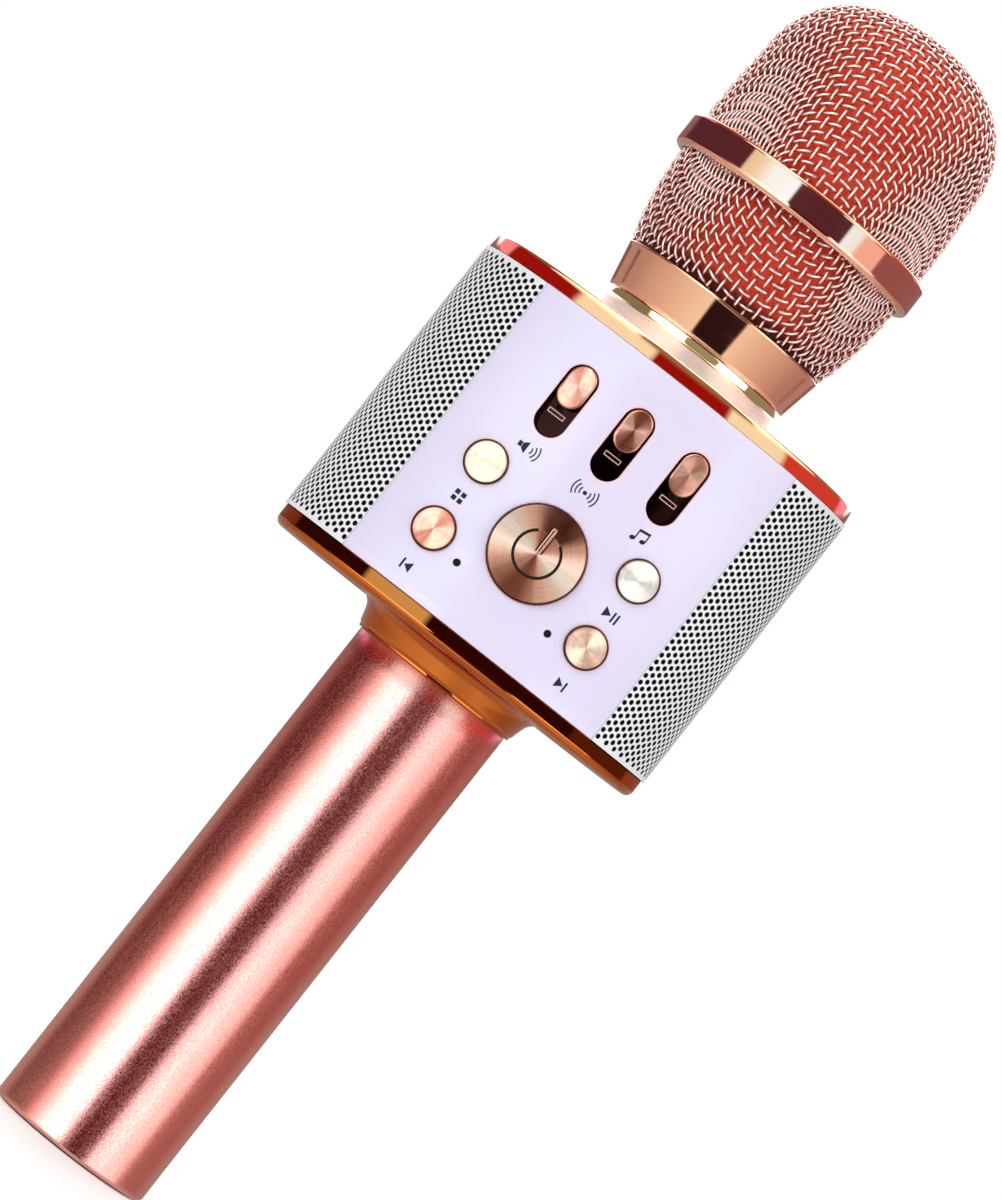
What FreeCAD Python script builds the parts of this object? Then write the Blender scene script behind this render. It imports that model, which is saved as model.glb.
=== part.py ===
import FreeCAD, Part
import os
import Sketcher

# Hand-held karaoke microphone with an oval speaker body.
# Frame: origin at the centre of the handle's bottom face, +Z along the handle
# towards the head, -Y towards the control panel, +X to the user's right.
# All sizes are in millimetres.

Vector = FreeCAD.Vector
doc = FreeCAD.newDocument("Microphone")

# ---------------------------------------------------------------- driving dimensions
# *_rad is a radius, *_low and *_high are heights; major runs along X and minor along Y.
SIZES = {
    # handle, its end plug and the cell
    "handle_rad": 15.8, "handle_wall": 1.5, "handle_top": 102.4, "handle_edge": 0.6,
    "plug_thick": 4.0, "plug_gap": 0.02,
    "cell_rad": 9.2, "cell_len": 65.0, "cell_low": 18.0, "pad_rad": 8.0,
    # oval speaker body and its two caps
    "cap_major": 39.2, "cap_minor": 29.5,
    "skin_major": 39.7, "skin_minor": 30.0, "skin_wall": 1.8,
    "skin_low": 111.3, "skin_high": 168.2, "sheet_wall": 0.8,
    "lowcap_low": 107.5, "lowcap_round": 2.0, "collar_low": 92.0,
    "topcap_top": 172.6, "topcap_round": 3.6, "topcap_major": 39.3, "topcap_minor": 29.6,
    "cavity_major": 37.2, "cavity_minor": 27.5,
    "neck_low": 176.1, "neck_rad": 18.8, "slope_rad": 21.2, "slope_top": 174.3,
    "panel_half": 27.1, "seam": 0.05,
    # screws: pilot holes, clearance holes, shanks and places
    "pilot_rad": 0.95, "clear_rad": 1.15, "shank_rad": 0.93,
    "screw_x": 28.0, "screw_y": 8.0, "rail_x": 20.5, "rail_tall": 4.0,
    "post_x": 19.5, "post_y": 16.0,
    # keys and power button
    "key_rad": 3.72, "key_gap": 0.17, "key_x": 16.5, "key_high": 137.4, "key_low": 123.0,
    "key_proud": 0.7, "flange_back": 22.3, "flange_thick": 1.0, "flange_rad": 4.5,
    "power_rad": 8.5, "power_high": 130.3, "power_face": 30.6,
    "power_flange_rad": 9.5, "power_flange_back": 26.1,
    # faders
    "slot_wide": 5.8, "slot_long": 14.35, "slot_z": 153.9, "slot_pitch": 12.1,
    "knob_wide": 5.0, "knob_long": 8.0, "knob_z": 156.8, "lever_z": 159.1,
    "knob_proud": 0.4, "knob_gap": 0.25, "fader_travel": 5.8,
    # main board, switches and lamps
    "board_front": 19.0, "board_thick": 1.6, "board_half": 23.3,
    "board_low": 113.0, "board_high": 166.0,
    "switch_side": 6.0, "switch_deep": 2.0, "switch_floor": 0.4,
    "plunger_rad": 1.7, "plunger_gap": 0.05,
    "led_x": 9.8, "led_z": 120.8, "led_rad": 0.65,
    # speakers
    "speaker_z": 139.75, "speaker_rad": 19.2, "baffle_in": 23.4, "baffle_out": 25.0,
    "rim_face": 26.3, "rim_screw": 12.2, "roll_rad": 14.2,
    # neck and head
    "spigot_rad": 16.08, "spigot_bore": 13.5, "head_gap": 0.1,
    "band_rad": 25.3, "band_low": 202.9, "band_high": 209.1, "mesh_wall": 0.9,
    # rear ports
    "port_z": 116.4, "jack_z": 117.6, "jack_x": 14.0, "jack_bore": 1.8,
}
sheet = doc.addObject("Spreadsheet::Sheet", "Dims")
for row, (alias, size) in enumerate(SIZES.items(), 1):
    sheet.set(f"A{row}", alias)
    sheet.set(f"B{row}", str(size))
    sheet.setAlias(f"B{row}", alias)
doc.recompute()
NODES = []


# ---------------------------------------------------------------- expressions and spans
# A value is a number or an expression in which $name is a cell of the sheet.
# A span is a (low, high) pair of values.

def formula(value):
    """The value as text for setExpression."""
    return value.replace("$", "Dims.") if isinstance(value, str) else repr(float(value))


def number(value):
    """The value worked out as a number; long aliases go first as they may hold short ones."""
    text = str(value)
    for alias in sorted(SIZES, key=len, reverse=True):
        text = text.replace("$" + alias, f"({SIZES[alias]!r})")
    return float(FreeCAD.Units.Quantity(text.replace(" ", "")).Value)


def around(middle, half):
    """The span of a half width to either side of a middle."""
    middle, half = formula(middle), formula(half)
    return f"({middle}) - ({half})", f"({middle}) + ({half})"


def reach_from(start, reach):
    """The span from a start over a signed reach."""
    end = f"({formula(start)}) + ({formula(reach)})"
    return (start, end) if reach > 0 else (end, start)


def mirrored(near, far, side):
    """The span between two distances from the middle, on side 1 or -1."""
    if side > 0:
        return near, far
    return f"-({formula(far)})", f"-({formula(near)})"


def corners(across, along):
    """Four places, symmetric about both axes."""
    return [(a + across, b + along) for a in ("", "-") for b in ("", "-")]


# ---------------------------------------------------------------- solids and booleans

def bind(obj, **properties):
    for name, value in properties.items():
        obj.setExpression(name, formula(value))
    return obj


def place(obj, *position):
    for axis, value in zip("xyz", position):
        obj.setExpression("Placement.Base." + axis, formula(value))
    return obj


def length(span):
    return f"({formula(span[1])}) - ({formula(span[0])})"


def box(name, x, y, z):
    """A box between three spans."""
    block = doc.addObject("Part::Box", name)
    bind(block, Length=length(x), Width=length(y), Height=length(z))
    return place(block, x[0], y[0], z[0])


TURNS = {
    "x": FreeCAD.Rotation(Vector(0, 1, 0), 90),
    "y": FreeCAD.Rotation(Vector(1, 0, 0), -90),
    "z": FreeCAD.Rotation(),
}


def lay(obj, axis, start, at):
    """Turns a round solid onto an axis; `at` is its other two coordinates in x, y, z order."""
    obj.Placement = FreeCAD.Placement(Vector(0, 0, 0), TURNS[axis])
    position = list(at)
    position.insert("xyz".index(axis), start)
    return place(obj, *position)


def cylinder(name, radius, axis, span, at=(0, 0)):
    rod = doc.addObject("Part::Cylinder", name)
    bind(rod, Radius=radius, Height=length(span))
    return lay(rod, axis, span[0], at)


def cylinders(name, radius, axis, span, places):
    return [cylinder(f"{name}_{i}", radius, axis, span, at) for i, at in enumerate(places)]


def ellipse(name, major, minor, z):
    outline = doc.addObject("Part::Ellipse", name)
    bind(outline, MajorRadius=major, MinorRadius=minor)
    return place(outline, 0, 0, z)


def oval(name, major, minor, z):
    """An elliptical prism over a span of heights."""
    prism = doc.addObject("Part::Extrusion", name)
    prism.Base = ellipse(name + "_ellipse", major, minor, z[0])
    prism.DirMode = "Custom"
    prism.Dir = Vector(0, 0, 1)
    prism.Solid = True
    return bind(prism, LengthFwd=length(z))


def skin_oval(name, offset, z):
    """An oval at an offset from the outside of the skin, positive outwards."""
    return oval(name, f"$skin_major + ({offset})", f"$skin_minor + ({offset})", z)


def skin_tube(name, outer, inner, z, inner_z):
    """An oval tube between two offsets from the outside of the skin."""
    return cut(name, skin_oval(name + "_outer", outer, z),
               skin_oval(name + "_inner", inner, inner_z))


def fuse(name, *parts):
    joined = doc.addObject("Part::MultiFuse", name)
    joined.Shapes = list(parts)
    return joined


def group(name, *parts):
    """Separate solids of one kind kept in one node."""
    compound = doc.addObject("Part::Compound", name)
    compound.Links = list(parts)
    return compound


def common(name, *parts):
    shared = doc.addObject("Part::MultiCommon", name)
    shared.Shapes = list(parts)
    return shared


def cut(name, body, *tools):
    tool = tools[0] if len(tools) == 1 else fuse(name + "_tool", *tools)
    remainder = doc.addObject("Part::Cut", name)
    remainder.Base = body
    remainder.Tool = tool
    return remainder


def stadium(name, wide, tall, x, z, y):
    """A round-ended slot shape about (x, z), long along Z and running through the span y."""
    straight = f"(({tall}) - ({wide})) / 2"
    radius = f"({wide}) / 2"
    low, high = around(z, straight)
    return fuse(name, box(name + "_mid", around(x, radius), y, (low, high)),
                cylinder(name + "_low", radius, "y", y, (x, low)),
                cylinder(name + "_top", radius, "y", y, (x, high)))


def rounded(name, prism, level, radius):
    """Fillets the edges of a prism that lie flat at a height."""
    doc.recompute()
    boxes = [edge.BoundBox for edge in prism.Shape.Edges]
    fillet = doc.addObject("Part::Fillet", name)
    fillet.Base = prism
    fillet.Edges = [(i, radius, radius) for i, bounds in enumerate(boxes, 1)
                    if abs(bounds.ZMin - level) < 1e-6 and abs(bounds.ZMax - level) < 1e-6]
    return fillet


def revolved(name, points):
    """A PartDesign body turned about Z from a closed outline of (radius, height)."""
    body = doc.addObject("PartDesign::Body", name)
    plane = [f for f in body.Origin.OriginFeatures if f.Role == "XZ_Plane"][0]
    sketch = body.newObject("Sketcher::SketchObject", name + "_outline")
    sketch.AttachmentSupport = [(plane, "")]
    sketch.MapMode = "FlatFace"
    doc.recompute()

    spots = [(number(radius), number(height)) for radius, height in points]
    count = len(spots)
    for i in range(count):
        start, end = spots[i], spots[(i + 1) % count]
        sketch.addGeometry(Part.LineSegment(Vector(*start, 0), Vector(*end, 0)), False)
    for i in range(count):
        sketch.addConstraint(Sketcher.Constraint("Coincident", i, 2, (i + 1) % count, 1))
    for i, (radius, height) in enumerate(points):
        across, up = spots[i]
        if abs(across) < 1e-9:
            sketch.addConstraint(Sketcher.Constraint("PointOnObject", i, 1, -2))
        else:
            rule = sketch.addConstraint(Sketcher.Constraint("DistanceX", -1, 1, i, 1, across))
            sketch.setExpression(f"Constraints[{rule}]", formula(radius))
        rule = sketch.addConstraint(Sketcher.Constraint("DistanceY", -1, 1, i, 1, up))
        if abs(up) > 1e-9:
            sketch.setExpression(f"Constraints[{rule}]", formula(height))
    turned = body.newObject("PartDesign::Revolution", name + "_turned")
    turned.Profile = sketch
    turned.ReferenceAxis = (sketch, ["V_Axis"])
    turned.Angle = 360
    body.Tip = turned
    return body


def screw(name, axis, under_head, at, reach, shank="$shank_rad", head=1.9, tall=1.2):
    """A cross-slotted pan-head screw; its shank has a signed reach from under the head."""
    way = 1 if reach > 0 else -1
    blank = fuse(name + "_blank",
                 cylinder(name + "_shank", shank, axis, reach_from(under_head, reach), at),
                 cylinder(name + "_head", head, axis, reach_from(under_head, -tall * way), at))
    head_top = f"({formula(under_head)}) + ({-tall * way})"
    slots = []
    for mark, halves in (("a", (1.1, 0.25)), ("b", (0.25, 1.1))):
        spans = [around(middle, half) for middle, half in zip(at, halves)]
        spans.insert("xyz".index(axis), reach_from(head_top, 0.5 * way))
        slots.append(box(f"{name}_slot_{mark}", *spans))
    return cut(name, blank, *slots)


def node(piece):
    """Marks a finished piece; its label is also its file name."""
    piece.Label = piece.Name
    NODES.append(piece)


# ---------------------------------------------------------------- shared places and spans
CELL_TOP = "$cell_low + $cell_len"
HANDLE_BORE = "$handle_rad - $handle_wall"
CAP_BORE = "$spigot_bore - 1.5"
SKIN_Z = ("$skin_low", "$skin_high")
SKIN_PAST = ("$skin_low - 1", "$skin_high + 1")
BODY_PAST = (100, 180)      # heights well past both ends of the speaker body
FRONT_CUT = (-35, -20)      # Y span through the front wall
REAR_CUT = (20, 35)         # Y span through the rear wall
FLOOR_CUT = (105, 115)      # Z span through the chassis floor
ROOF_CUT = (165, 175)       # Z span through the chassis roof
BOARD_FACE = "-$board_front"
BOARD_BACK = "$board_thick - $board_front"
LEVER_TRACK = ("$lever_z - $fader_travel - 1.35", "$lever_z + 1.35")
SOCKET_LOW = 113.5
SIDES = (("r", 1), ("l", -1))

CAP_SCREWS = corners("$screw_x", "$screw_y")                                # (x, y)
BOARD_SCREWS = [(x, z) for z in ("$board_low + $rail_tall / 2", "$board_high - $rail_tall / 2")
                for x in ("-$rail_x", "$rail_x")]
POSTS = [("-$post_x", "$post_y"), ("$post_x", "$post_y")]                   # (x, y)
RIM_SCREWS = [(y, f"$speaker_z + ({z})") for y, z in corners("$rim_screw", "$rim_screw")]

KEYS = {                                                                    # (x, z)
    "mode": ("-$key_x", "$key_high"), "play": ("$key_x", "$key_high"),
    "previous": ("-$key_x", "$key_low"), "next": ("$key_x", "$key_low"),
}
POWER = (0, "$power_high")
FADERS = {"volume": "-$slot_pitch", "echo": 0, "music": "$slot_pitch"}      # x
LEDS = [("-$led_x", "$led_z"), ("$led_x", "$led_z")]                        # (x, z)


# ---------------------------------------------------------------- handle

def handle_tube():
    node(revolved("handle_tube", [
        ("$handle_rad - $handle_edge", 0.0),
        ("$handle_rad - $handle_edge * 0.29", "$handle_edge * 0.29"),
        ("$handle_rad", "$handle_edge"), ("$handle_rad", "$handle_top"),
        (HANDLE_BORE, "$handle_top"), (HANDLE_BORE, 0.0)]))


def handle_end_cap():
    plug = cylinder("plug_disc", f"{HANDLE_BORE} - $plug_gap", "z", (0, "$plug_thick"))
    blind_holes = cylinders("plug_hole", 1.0, "z", (0, 1.2), [(-8, 0), (8, 0)])
    node(cut("handle_end_cap", plug, *blind_holes))


def battery_cell():
    """The cell with its raised contact."""
    node(fuse("battery_cell",
              cylinder("cell_can", "$cell_rad", "z", ("$cell_low", CELL_TOP)),
              cylinder("cell_button", 3.0, "z", (CELL_TOP, f"{CELL_TOP} + 1"))))


def battery_cradle():
    """A half-round tray with end walls, open towards -Y."""
    room = "$cell_rad + 0.3"
    room_z = ("$cell_low - 2", f"{CELL_TOP} + 2.5")
    node(cut("battery_cradle",
             cylinder("tray_outer", f"{HANDLE_BORE} - 0.1", "z",
                      ("$plug_thick", f"{CELL_TOP} + 5")),
             cylinder("tray_hollow", room, "z", room_z),
             box("tray_front", (-15, 15), (-16, -3), (0, 100)),
             box("tray_open", around(0, room), (-15, 0), room_z),
             box("tray_wire", (-3, 3), (-3.4, -1), (f"{CELL_TOP} + 1", f"{CELL_TOP} + 6"))))


def battery_pads():
    """A disc below the cell and a half disc above it."""
    high = cylinder("pad_high_disc", "$pad_rad", "z", (f"{CELL_TOP} + 1.02", f"{CELL_TOP} + 2.48"))
    node(group("battery_pads",
               cylinder("pad_low", "$pad_rad", "z", ("$cell_low - 1.98", "$cell_low - 0.02")),
               cut("pad_high", high, box("pad_high_cut", (-9, 9), (-9, 0), (80, 90)))))


# ---------------------------------------------------------------- caps and chassis

def bottom_cap():
    """The lower cap with the collar that enters the handle."""
    prism = oval("lowcap_prism", "$cap_major", "$cap_minor", ("$lowcap_low", "$skin_low"))
    shell = rounded("lowcap_rounded", prism, SIZES["lowcap_low"], SIZES["lowcap_round"])
    fit = f"{HANDLE_BORE} - $plug_gap"
    # The flare from handle to cap: (beyond handle_rad, above handle_top)
    flare = [(0.65, 0.6), (0.9, 1.2), (1.15, 2.0), (1.45, 2.9), (1.75, 3.8), (2.25, 4.6),
             (3.2, 5.2)]
    collar = revolved("lowcap_collar", [
        (CAP_BORE, "$collar_low"), (fit, "$collar_low"), (fit, "$handle_top"),
        ("$handle_rad + 0.6", "$handle_top"),
        *[(f"$handle_rad + {out}", f"$handle_top + {up}") for out, up in flare],
        ("$handle_rad + 3.2", "$lowcap_low + 1"), (CAP_BORE, "$lowcap_low + 1")])
    cavity = oval("lowcap_cavity", "$cavity_major", "$cavity_minor",
                  ("$lowcap_low + 2", "$skin_low + 1"))
    bore = cylinder("lowcap_bore", CAP_BORE, "z", (90, 115))
    pilots = cylinders("lowcap_pilot", "$pilot_rad", "z", ("$lowcap_low + 0.7", "$skin_low"),
                       CAP_SCREWS)
    node(cut("bottom_cap", fuse("lowcap_body", shell, collar), cavity, bore, *pilots))


def top_cap():
    """The upper cap, sloping from the oval to the round neck."""
    prism = oval("topcap_prism", "$topcap_major", "$topcap_minor", ("$skin_high", "$topcap_top"))
    shell = rounded("topcap_rounded", prism, SIZES["topcap_top"], SIZES["topcap_round"])
    slope = doc.addObject("Part::Loft", "topcap_slope")
    slope.Sections = [
        ellipse("slope_foot", "$topcap_major - 2.9", "$topcap_minor - 2.9", "$topcap_top - 0.2"),
        # an ellipse needs its major radius a trace over its minor one
        ellipse("slope_head", "$slope_rad + 0.0001", "$slope_rad", "$slope_top")]
    slope.Solid = True
    slope.Ruled = True
    flare = revolved("topcap_flare", [
        (0.0, "$slope_top - 3"), ("$slope_rad - 0.5", "$slope_top - 3"),
        ("$slope_rad - 0.05", "$slope_top - 0.02"), ("$slope_rad - 1.05", "$slope_top + 0.35"),
        ("$slope_rad - 1.75", "$slope_top + 0.85"), ("$slope_rad - 2.2", "$slope_top + 1.35"),
        ("$neck_rad", "$neck_low"), (0.0, "$neck_low")])
    cavity = oval("topcap_cavity", "$cavity_major", "$cavity_minor",
                  ("$skin_high - 1", "$skin_high + 1.8"))
    bore = cylinder("topcap_bore", "$spigot_rad", "z", (160, 180))
    pilots = cylinders("topcap_pilot", "$pilot_rad", "z", ("$skin_high", "$skin_high + 3.4"),
                       CAP_SCREWS)
    node(cut("top_cap", fuse("topcap_body", shell, slope, flare), cavity, bore, *pilots))


def chassis():
    """Floor and roof joined by two speaker walls, with board rails and port board posts."""
    major, minor = "$cavity_major - 0.3", "$cavity_minor - 0.3"
    floor = oval("frame_floor", major, minor, ("$lowcap_low + 2", "$skin_low + 0.4"))
    roof = oval("frame_roof", major, minor, ("$skin_high - 0.4", "$skin_high + 1.8"))
    walls = [box("frame_wall_" + name, mirrored("$baffle_in", "$baffle_out", side),
                 (-19.4, 19.4), SKIN_Z) for name, side in SIDES]
    rails = [box("frame_rail_" + name, around(0, "$baffle_in"), (BOARD_BACK, -15), z)
             for name, z in (("low", ("$board_low", "$board_low + $rail_tall")),
                             ("high", ("$board_high - $rail_tall", "$board_high")))]
    posts = cylinders("frame_post", 2.4, "z", ("$skin_low", "$port_z - 2.7"), POSTS)
    openings = [
        cylinder("frame_bore", 12.0, "z", FLOOR_CUT),
        cylinder("frame_neck", "$spigot_rad + 3", "z", ROOF_CUT),
        cylinder("frame_mouth", "$speaker_rad - 3.3", "x", (-30, 30), (0, "$speaker_z"))]
    holes = [
        *cylinders("frame_hole", "$clear_rad", "z", FLOOR_CUT, CAP_SCREWS),
        *cylinders("frame_roof_hole", "$clear_rad", "z", ROOF_CUT, CAP_SCREWS),
        *cylinders("rail_hole", "$pilot_rad", "y", (-18, -14), BOARD_SCREWS),
        *cylinders("post_hole", "$pilot_rad", "z", ("$skin_low - 1", "$port_z"), POSTS),
        *cylinders("rim_hole", 0.8, "x", (-30, 30), RIM_SCREWS)]
    body = fuse("frame_body", floor, roof, *walls, *rails, *posts)
    node(cut("chassis", body, *openings, *holes))


def cap_screws():
    """Screws down through the floor and up through the roof into the caps."""
    for label, name, under_head, reach in (
            ("bottom_cap_screws", "low_screw", "$skin_low + 0.4", -3.2),
            ("top_cap_screws", "top_screw", "$skin_high - 0.4", 3.6)):
        node(group(label, *[screw(f"{name}_{i}", "z", under_head, at, reach)
                            for i, at in enumerate(CAP_SCREWS)]))


# ---------------------------------------------------------------- outer skin

def panels():
    """The front and rear thirds of the skin, with their openings."""
    skin = skin_tube("skin_tube", 0, "-$skin_wall", SKIN_Z, SKIN_PAST)
    width = around(0, "$panel_half")
    front = common("front_blank", skin, box("front_cut", width, (-40, 0), SKIN_Z))
    holes = [cylinder("hole_" + key, "$key_rad + $key_gap", "y", FRONT_CUT, at)
             for key, at in KEYS.items()]
    holes.append(cylinder("hole_power", "$power_rad + $key_gap", "y", FRONT_CUT, POWER))
    holes += [stadium("slot_" + fader, "$slot_wide", "$slot_long", x, "$slot_z", FRONT_CUT)
              for fader, x in FADERS.items()]
    holes += cylinders("hole_led", "$led_rad + 0.02", "y", FRONT_CUT, LEDS)
    node(cut("front_panel", front, *holes))

    rear = common("rear_blank", skin, box("rear_cut", width, (0, 40), SKIN_Z))
    node(cut("rear_panel", rear,
             box("rear_usb", (-18.2, -9.8), REAR_CUT, around("$port_z", 1.75)),
             box("rear_card", (-6.6, 6.6), REAR_CUT, around("$port_z", 1.2)),
             cylinder("rear_jack", 2.85, "y", REAR_CUT, ("$jack_x", "$jack_z"))))


def grilles():
    """Side sheets, built without their fine perforations."""
    sheets = skin_tube("sheet_tube", 0, "-$sheet_wall", SKIN_Z, SKIN_PAST)
    for label, side in (("grille_right", 1), ("grille_left", -1)):
        x = mirrored("$panel_half + $seam", 45, side)
        node(common(label, sheets, box(label + "_cut", x, (-35, 35), SKIN_Z)))


def speaker_scrims():
    """A thin layer inside each side grille."""
    tube = skin_tube("scrim_tube", -1.3, -1.8, ("$skin_low + 0.6", "$skin_high - 0.6"), SKIN_PAST)
    scrims = []
    for name, side in SIDES:
        x = mirrored("$panel_half + 1.2", 45, side)
        area = box("scrim_cut_" + name, x, (-35, 35), BODY_PAST)
        scrims.append(common("scrim_" + name, tube, area))
    node(group("speaker_scrims", *scrims))


# ---------------------------------------------------------------- keys and power button

def keys():
    """Four round keys that follow the skin, each with a plunger down to its switch."""
    crown = skin_oval("key_follow", "$key_proud", BODY_PAST)
    for key, at in KEYS.items():
        rod = cylinder(key + "_cap_rod", "$key_rad", "y", (-35, "-$flange_back - 0.5"), at)
        flange = cylinder(key + "_flange", "$flange_rad", "y",
                          ("-$flange_back - $flange_thick", "-$flange_back"), at)
        node(fuse(key + "_button", common(key + "_cap", rod, crown), flange))
        node(cylinder(key + "_plunger", "$plunger_rad", "y",
                      ("-$flange_back", "-$board_front - 1.2"), at))


def power_button():
    """A flat-faced button engraved with a ring open at the top, and its plunger."""
    back = "-$power_flange_back"
    body = fuse("power_body",
                cylinder("power_cap", "$power_rad", "y", ("-$power_face", f"{back} - 0.5"), POWER),
                cylinder("power_flange", "$power_flange_rad", "y",
                         (f"{back} - $flange_thick", back), POWER),
                cylinder("power_stem", 3.0, "y", (f"{back} - 0.2", "-$flange_back"), POWER))
    past = ("-$power_face - 2", "0.5 - $power_face")
    ring = cut("power_ring",
               cylinder("power_ring_out", 4.0, "y", ("-$power_face - 1", "0.25 - $power_face"),
                        POWER),
               cylinder("power_ring_in", 3.4, "y", past, POWER),
               box("power_ring_gap", (-2.3, 2.3), past, ("$power_high + 2.5", "$power_high + 5")))
    node(cut("power_button", body, ring))
    node(cylinder("power_plunger", "$plunger_rad", "y", ("-$flange_back", "-$board_front - 1.3"),
                  POWER))


# ---------------------------------------------------------------- faders

def slider_beds():
    """Plates behind the slots, each slit for its lever and marked with a raised minus."""
    bed_z = around("$slot_z", "$slot_long / 2 + 2")
    ring = skin_tube("bed_ring", "-$skin_wall", "-$skin_wall - 1", bed_z, BODY_PAST)
    band = skin_tube("minus_band", "-$skin_wall + 0.15", "-$skin_wall - 0.3", BODY_PAST, BODY_PAST)
    beds = []
    for fader, x in FADERS.items():
        area = box(fader + "_bed_cut", around(x, 4.4), (-35, 0), (140, 170))
        slit = box(fader + "_bed_slit", around(x, 0.8), FRONT_CUT, LEVER_TRACK)
        plate = cut(fader + "_bed_open", common(fader + "_bed_plate", ring, area), slit)
        mark = box(fader + "_minus_cut", around(x, 1.65), (-35, 0),
                   ("$slot_z - 3.15", "$slot_z - 2.25"))
        beds.append(fuse(fader + "_bed", plate, common(fader + "_minus", band, mark)))
    node(group("slider_beds", *beds))


def knobs_and_levers():
    under = "-$skin_wall + $knob_gap"
    ring = skin_tube("knob_ring", "$knob_proud", under, BODY_PAST, (90, 190))
    lever_limit = skin_oval("lever_follow", under, BODY_PAST)
    for fader, x in FADERS.items():
        shape = stadium(fader + "_knob_shape", "$knob_wide", "$knob_long", x, "$knob_z",
                        (-36, -20))
        node(common(fader + "_knob", ring, shape))
        bar = box(fader + "_lever_bar", around(x, 0.6), (-36, "-$board_front - 1.2"),
                  around("$lever_z", 1.2))
        node(common(fader + "_lever", lever_limit, bar))


# ---------------------------------------------------------------- main board

def on_board(depth):
    """The Y span of a part of some depth on the front face of the main board."""
    return f"{BOARD_FACE} - {depth}", BOARD_FACE


def status_lights():
    """Two footed light pipes that end just under the skin's surface, and their lamps."""
    limit = skin_oval("lens_follow", -0.05, BODY_PAST)
    foot_front, foot_back = "-$board_front - 2.2", "-$board_front - 1.3"
    pipes, lamps = [], []
    for i, (x, z) in enumerate(LEDS):
        bar = cylinder(f"lens_bar_{i}", "$led_rad", "y", (-35, foot_back), (x, z))
        foot = cylinder(f"lens_foot_{i}", 1.3, "y", (foot_front, foot_back), (x, z))
        pipes.append(fuse(f"lens_{i}", common(f"lens_rod_{i}", bar, limit), foot))
        lamps.append(box(f"lamp_{i}", around(x, 0.8), on_board(0.8), around(z, 0.6)))
    node(group("status_light_pipes", *pipes))
    node(group("status_leds", *lamps))


def main_board():
    blank = box("board_blank", around(0, "$board_half"), (BOARD_FACE, BOARD_BACK),
                ("$board_low", "$board_high"))
    node(cut("main_board", blank,
             *cylinders("board_hole", "$clear_rad", "y", (-25, -10), BOARD_SCREWS)))


# name, x span, depth, z span
BLOCKS = [
    ("main_chip", (-4, 4), 1.0, (135.5, 143.5)),
    ("radio_chip", (-2.5, 2.5), 0.9, (118.6, 123.6)),
    ("cell_socket", (-3.2, 3.2), 3.4, (SOCKET_LOW, 117)),
    ("crystal", (5.4, 7), 0.8, (138, 141.2)),
]
# name, depth, (x, z)
CANS = [("can_left", 4.0, (-7.4, 115.6)), ("can_right", 4.0, (7.4, 115.6)),
        ("can_top", 3.6, (-8.6, 139.6))]
# distance of a left and right pair of small chips from the middle, z
CHIP_PAIRS = [(5.6, 124.6), (9.2, 128.0), (9.2, 132.2), (6.2, 145.0), (20.0, 147.5), (20.0, 152.0)]


def board_components():
    parts = [box(name, x, on_board(depth), z) for name, x, depth, z in BLOCKS]
    parts += [cylinder(name, 1.8, "y", on_board(depth), at) for name, depth, at in CANS]
    for i, (x, z) in enumerate(CHIP_PAIRS):
        parts += [box(f"chip_{i}_{name}", around(x * side, 0.8), on_board(0.5), around(z, 0.4))
                  for name, side in SIDES]
    node(group("board_components", *parts))


def switch_housings():
    """A square can under each button, with a well for the plunger."""
    well_y = ("-$board_front - $switch_deep - 1", "-$board_front - $switch_floor")
    switches = []
    for key, (x, z) in {**KEYS, "power": POWER}.items():
        half = "$switch_side / 2"
        can = box("switch_can_" + key, around(x, half), on_board("$switch_deep"), around(z, half))
        well = cylinder("switch_well_" + key, "$plunger_rad + $plunger_gap", "y", well_y, (x, z))
        switches.append(cut("switch_" + key, can, well))
    node(group("switch_housings", *switches))


def fader_housings():
    housings = []
    for fader, x in FADERS.items():
        can = box("fader_can_" + fader, around(x, 3), on_board(3.5), around("$slot_z", 8))
        track = box("fader_track_" + fader, around(x, 0.75),
                    ("-$board_front - 4", "-$board_front - 0.8"), LEVER_TRACK)
        housings.append(cut("fader_" + fader, can, track))
    node(group("fader_housings", *housings))


def board_screws():
    """Four screws for the main board and two for the port board."""
    screws = [screw(f"board_screw_{i}", "y", BOARD_FACE, at, 3.8)
              for i, at in enumerate(BOARD_SCREWS)]
    screws += [screw(f"port_screw_{i}", "z", "$port_z - 1.5", at, -3.0)
               for i, at in enumerate(POSTS)]
    node(group("board_screws", *screws))


# ---------------------------------------------------------------- port board, facing the rear

def port_board():
    blank = box("port_board_blank", (-21.5, 21.5), (13, 22.8), ("$port_z - 2.7", "$port_z - 1.5"))
    node(cut("port_board", blank,
             *cylinders("port_board_hole", "$clear_rad", "z", (110, 120), POSTS)))


def charging_port():
    """A rectangular shell with a tongue inside."""
    shell = cut("usb_shell", box("usb_block", (-18, -10), (19, 26.6), around("$port_z", 1.5)),
                box("usb_mouth", (-17.3, -10.7), (20, 30), around("$port_z", 0.95)))
    tongue = box("usb_tongue", (-16, -12), (19.5, 26), ("$port_z - 0.1", "$port_z + 0.35"))
    node(fuse("charging_port", shell, tongue))


def card_socket():
    block = box("card_block", (-7.2, 7.2), (14, 26.9), ("$port_z - 1.5", "$port_z + 0.9"))
    mouth = box("card_mouth", (-5.6, 5.6), (15.5, 30), ("$port_z - 0.6", "$port_z + 0.2"))
    node(cut("card_socket", block, mouth))


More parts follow.
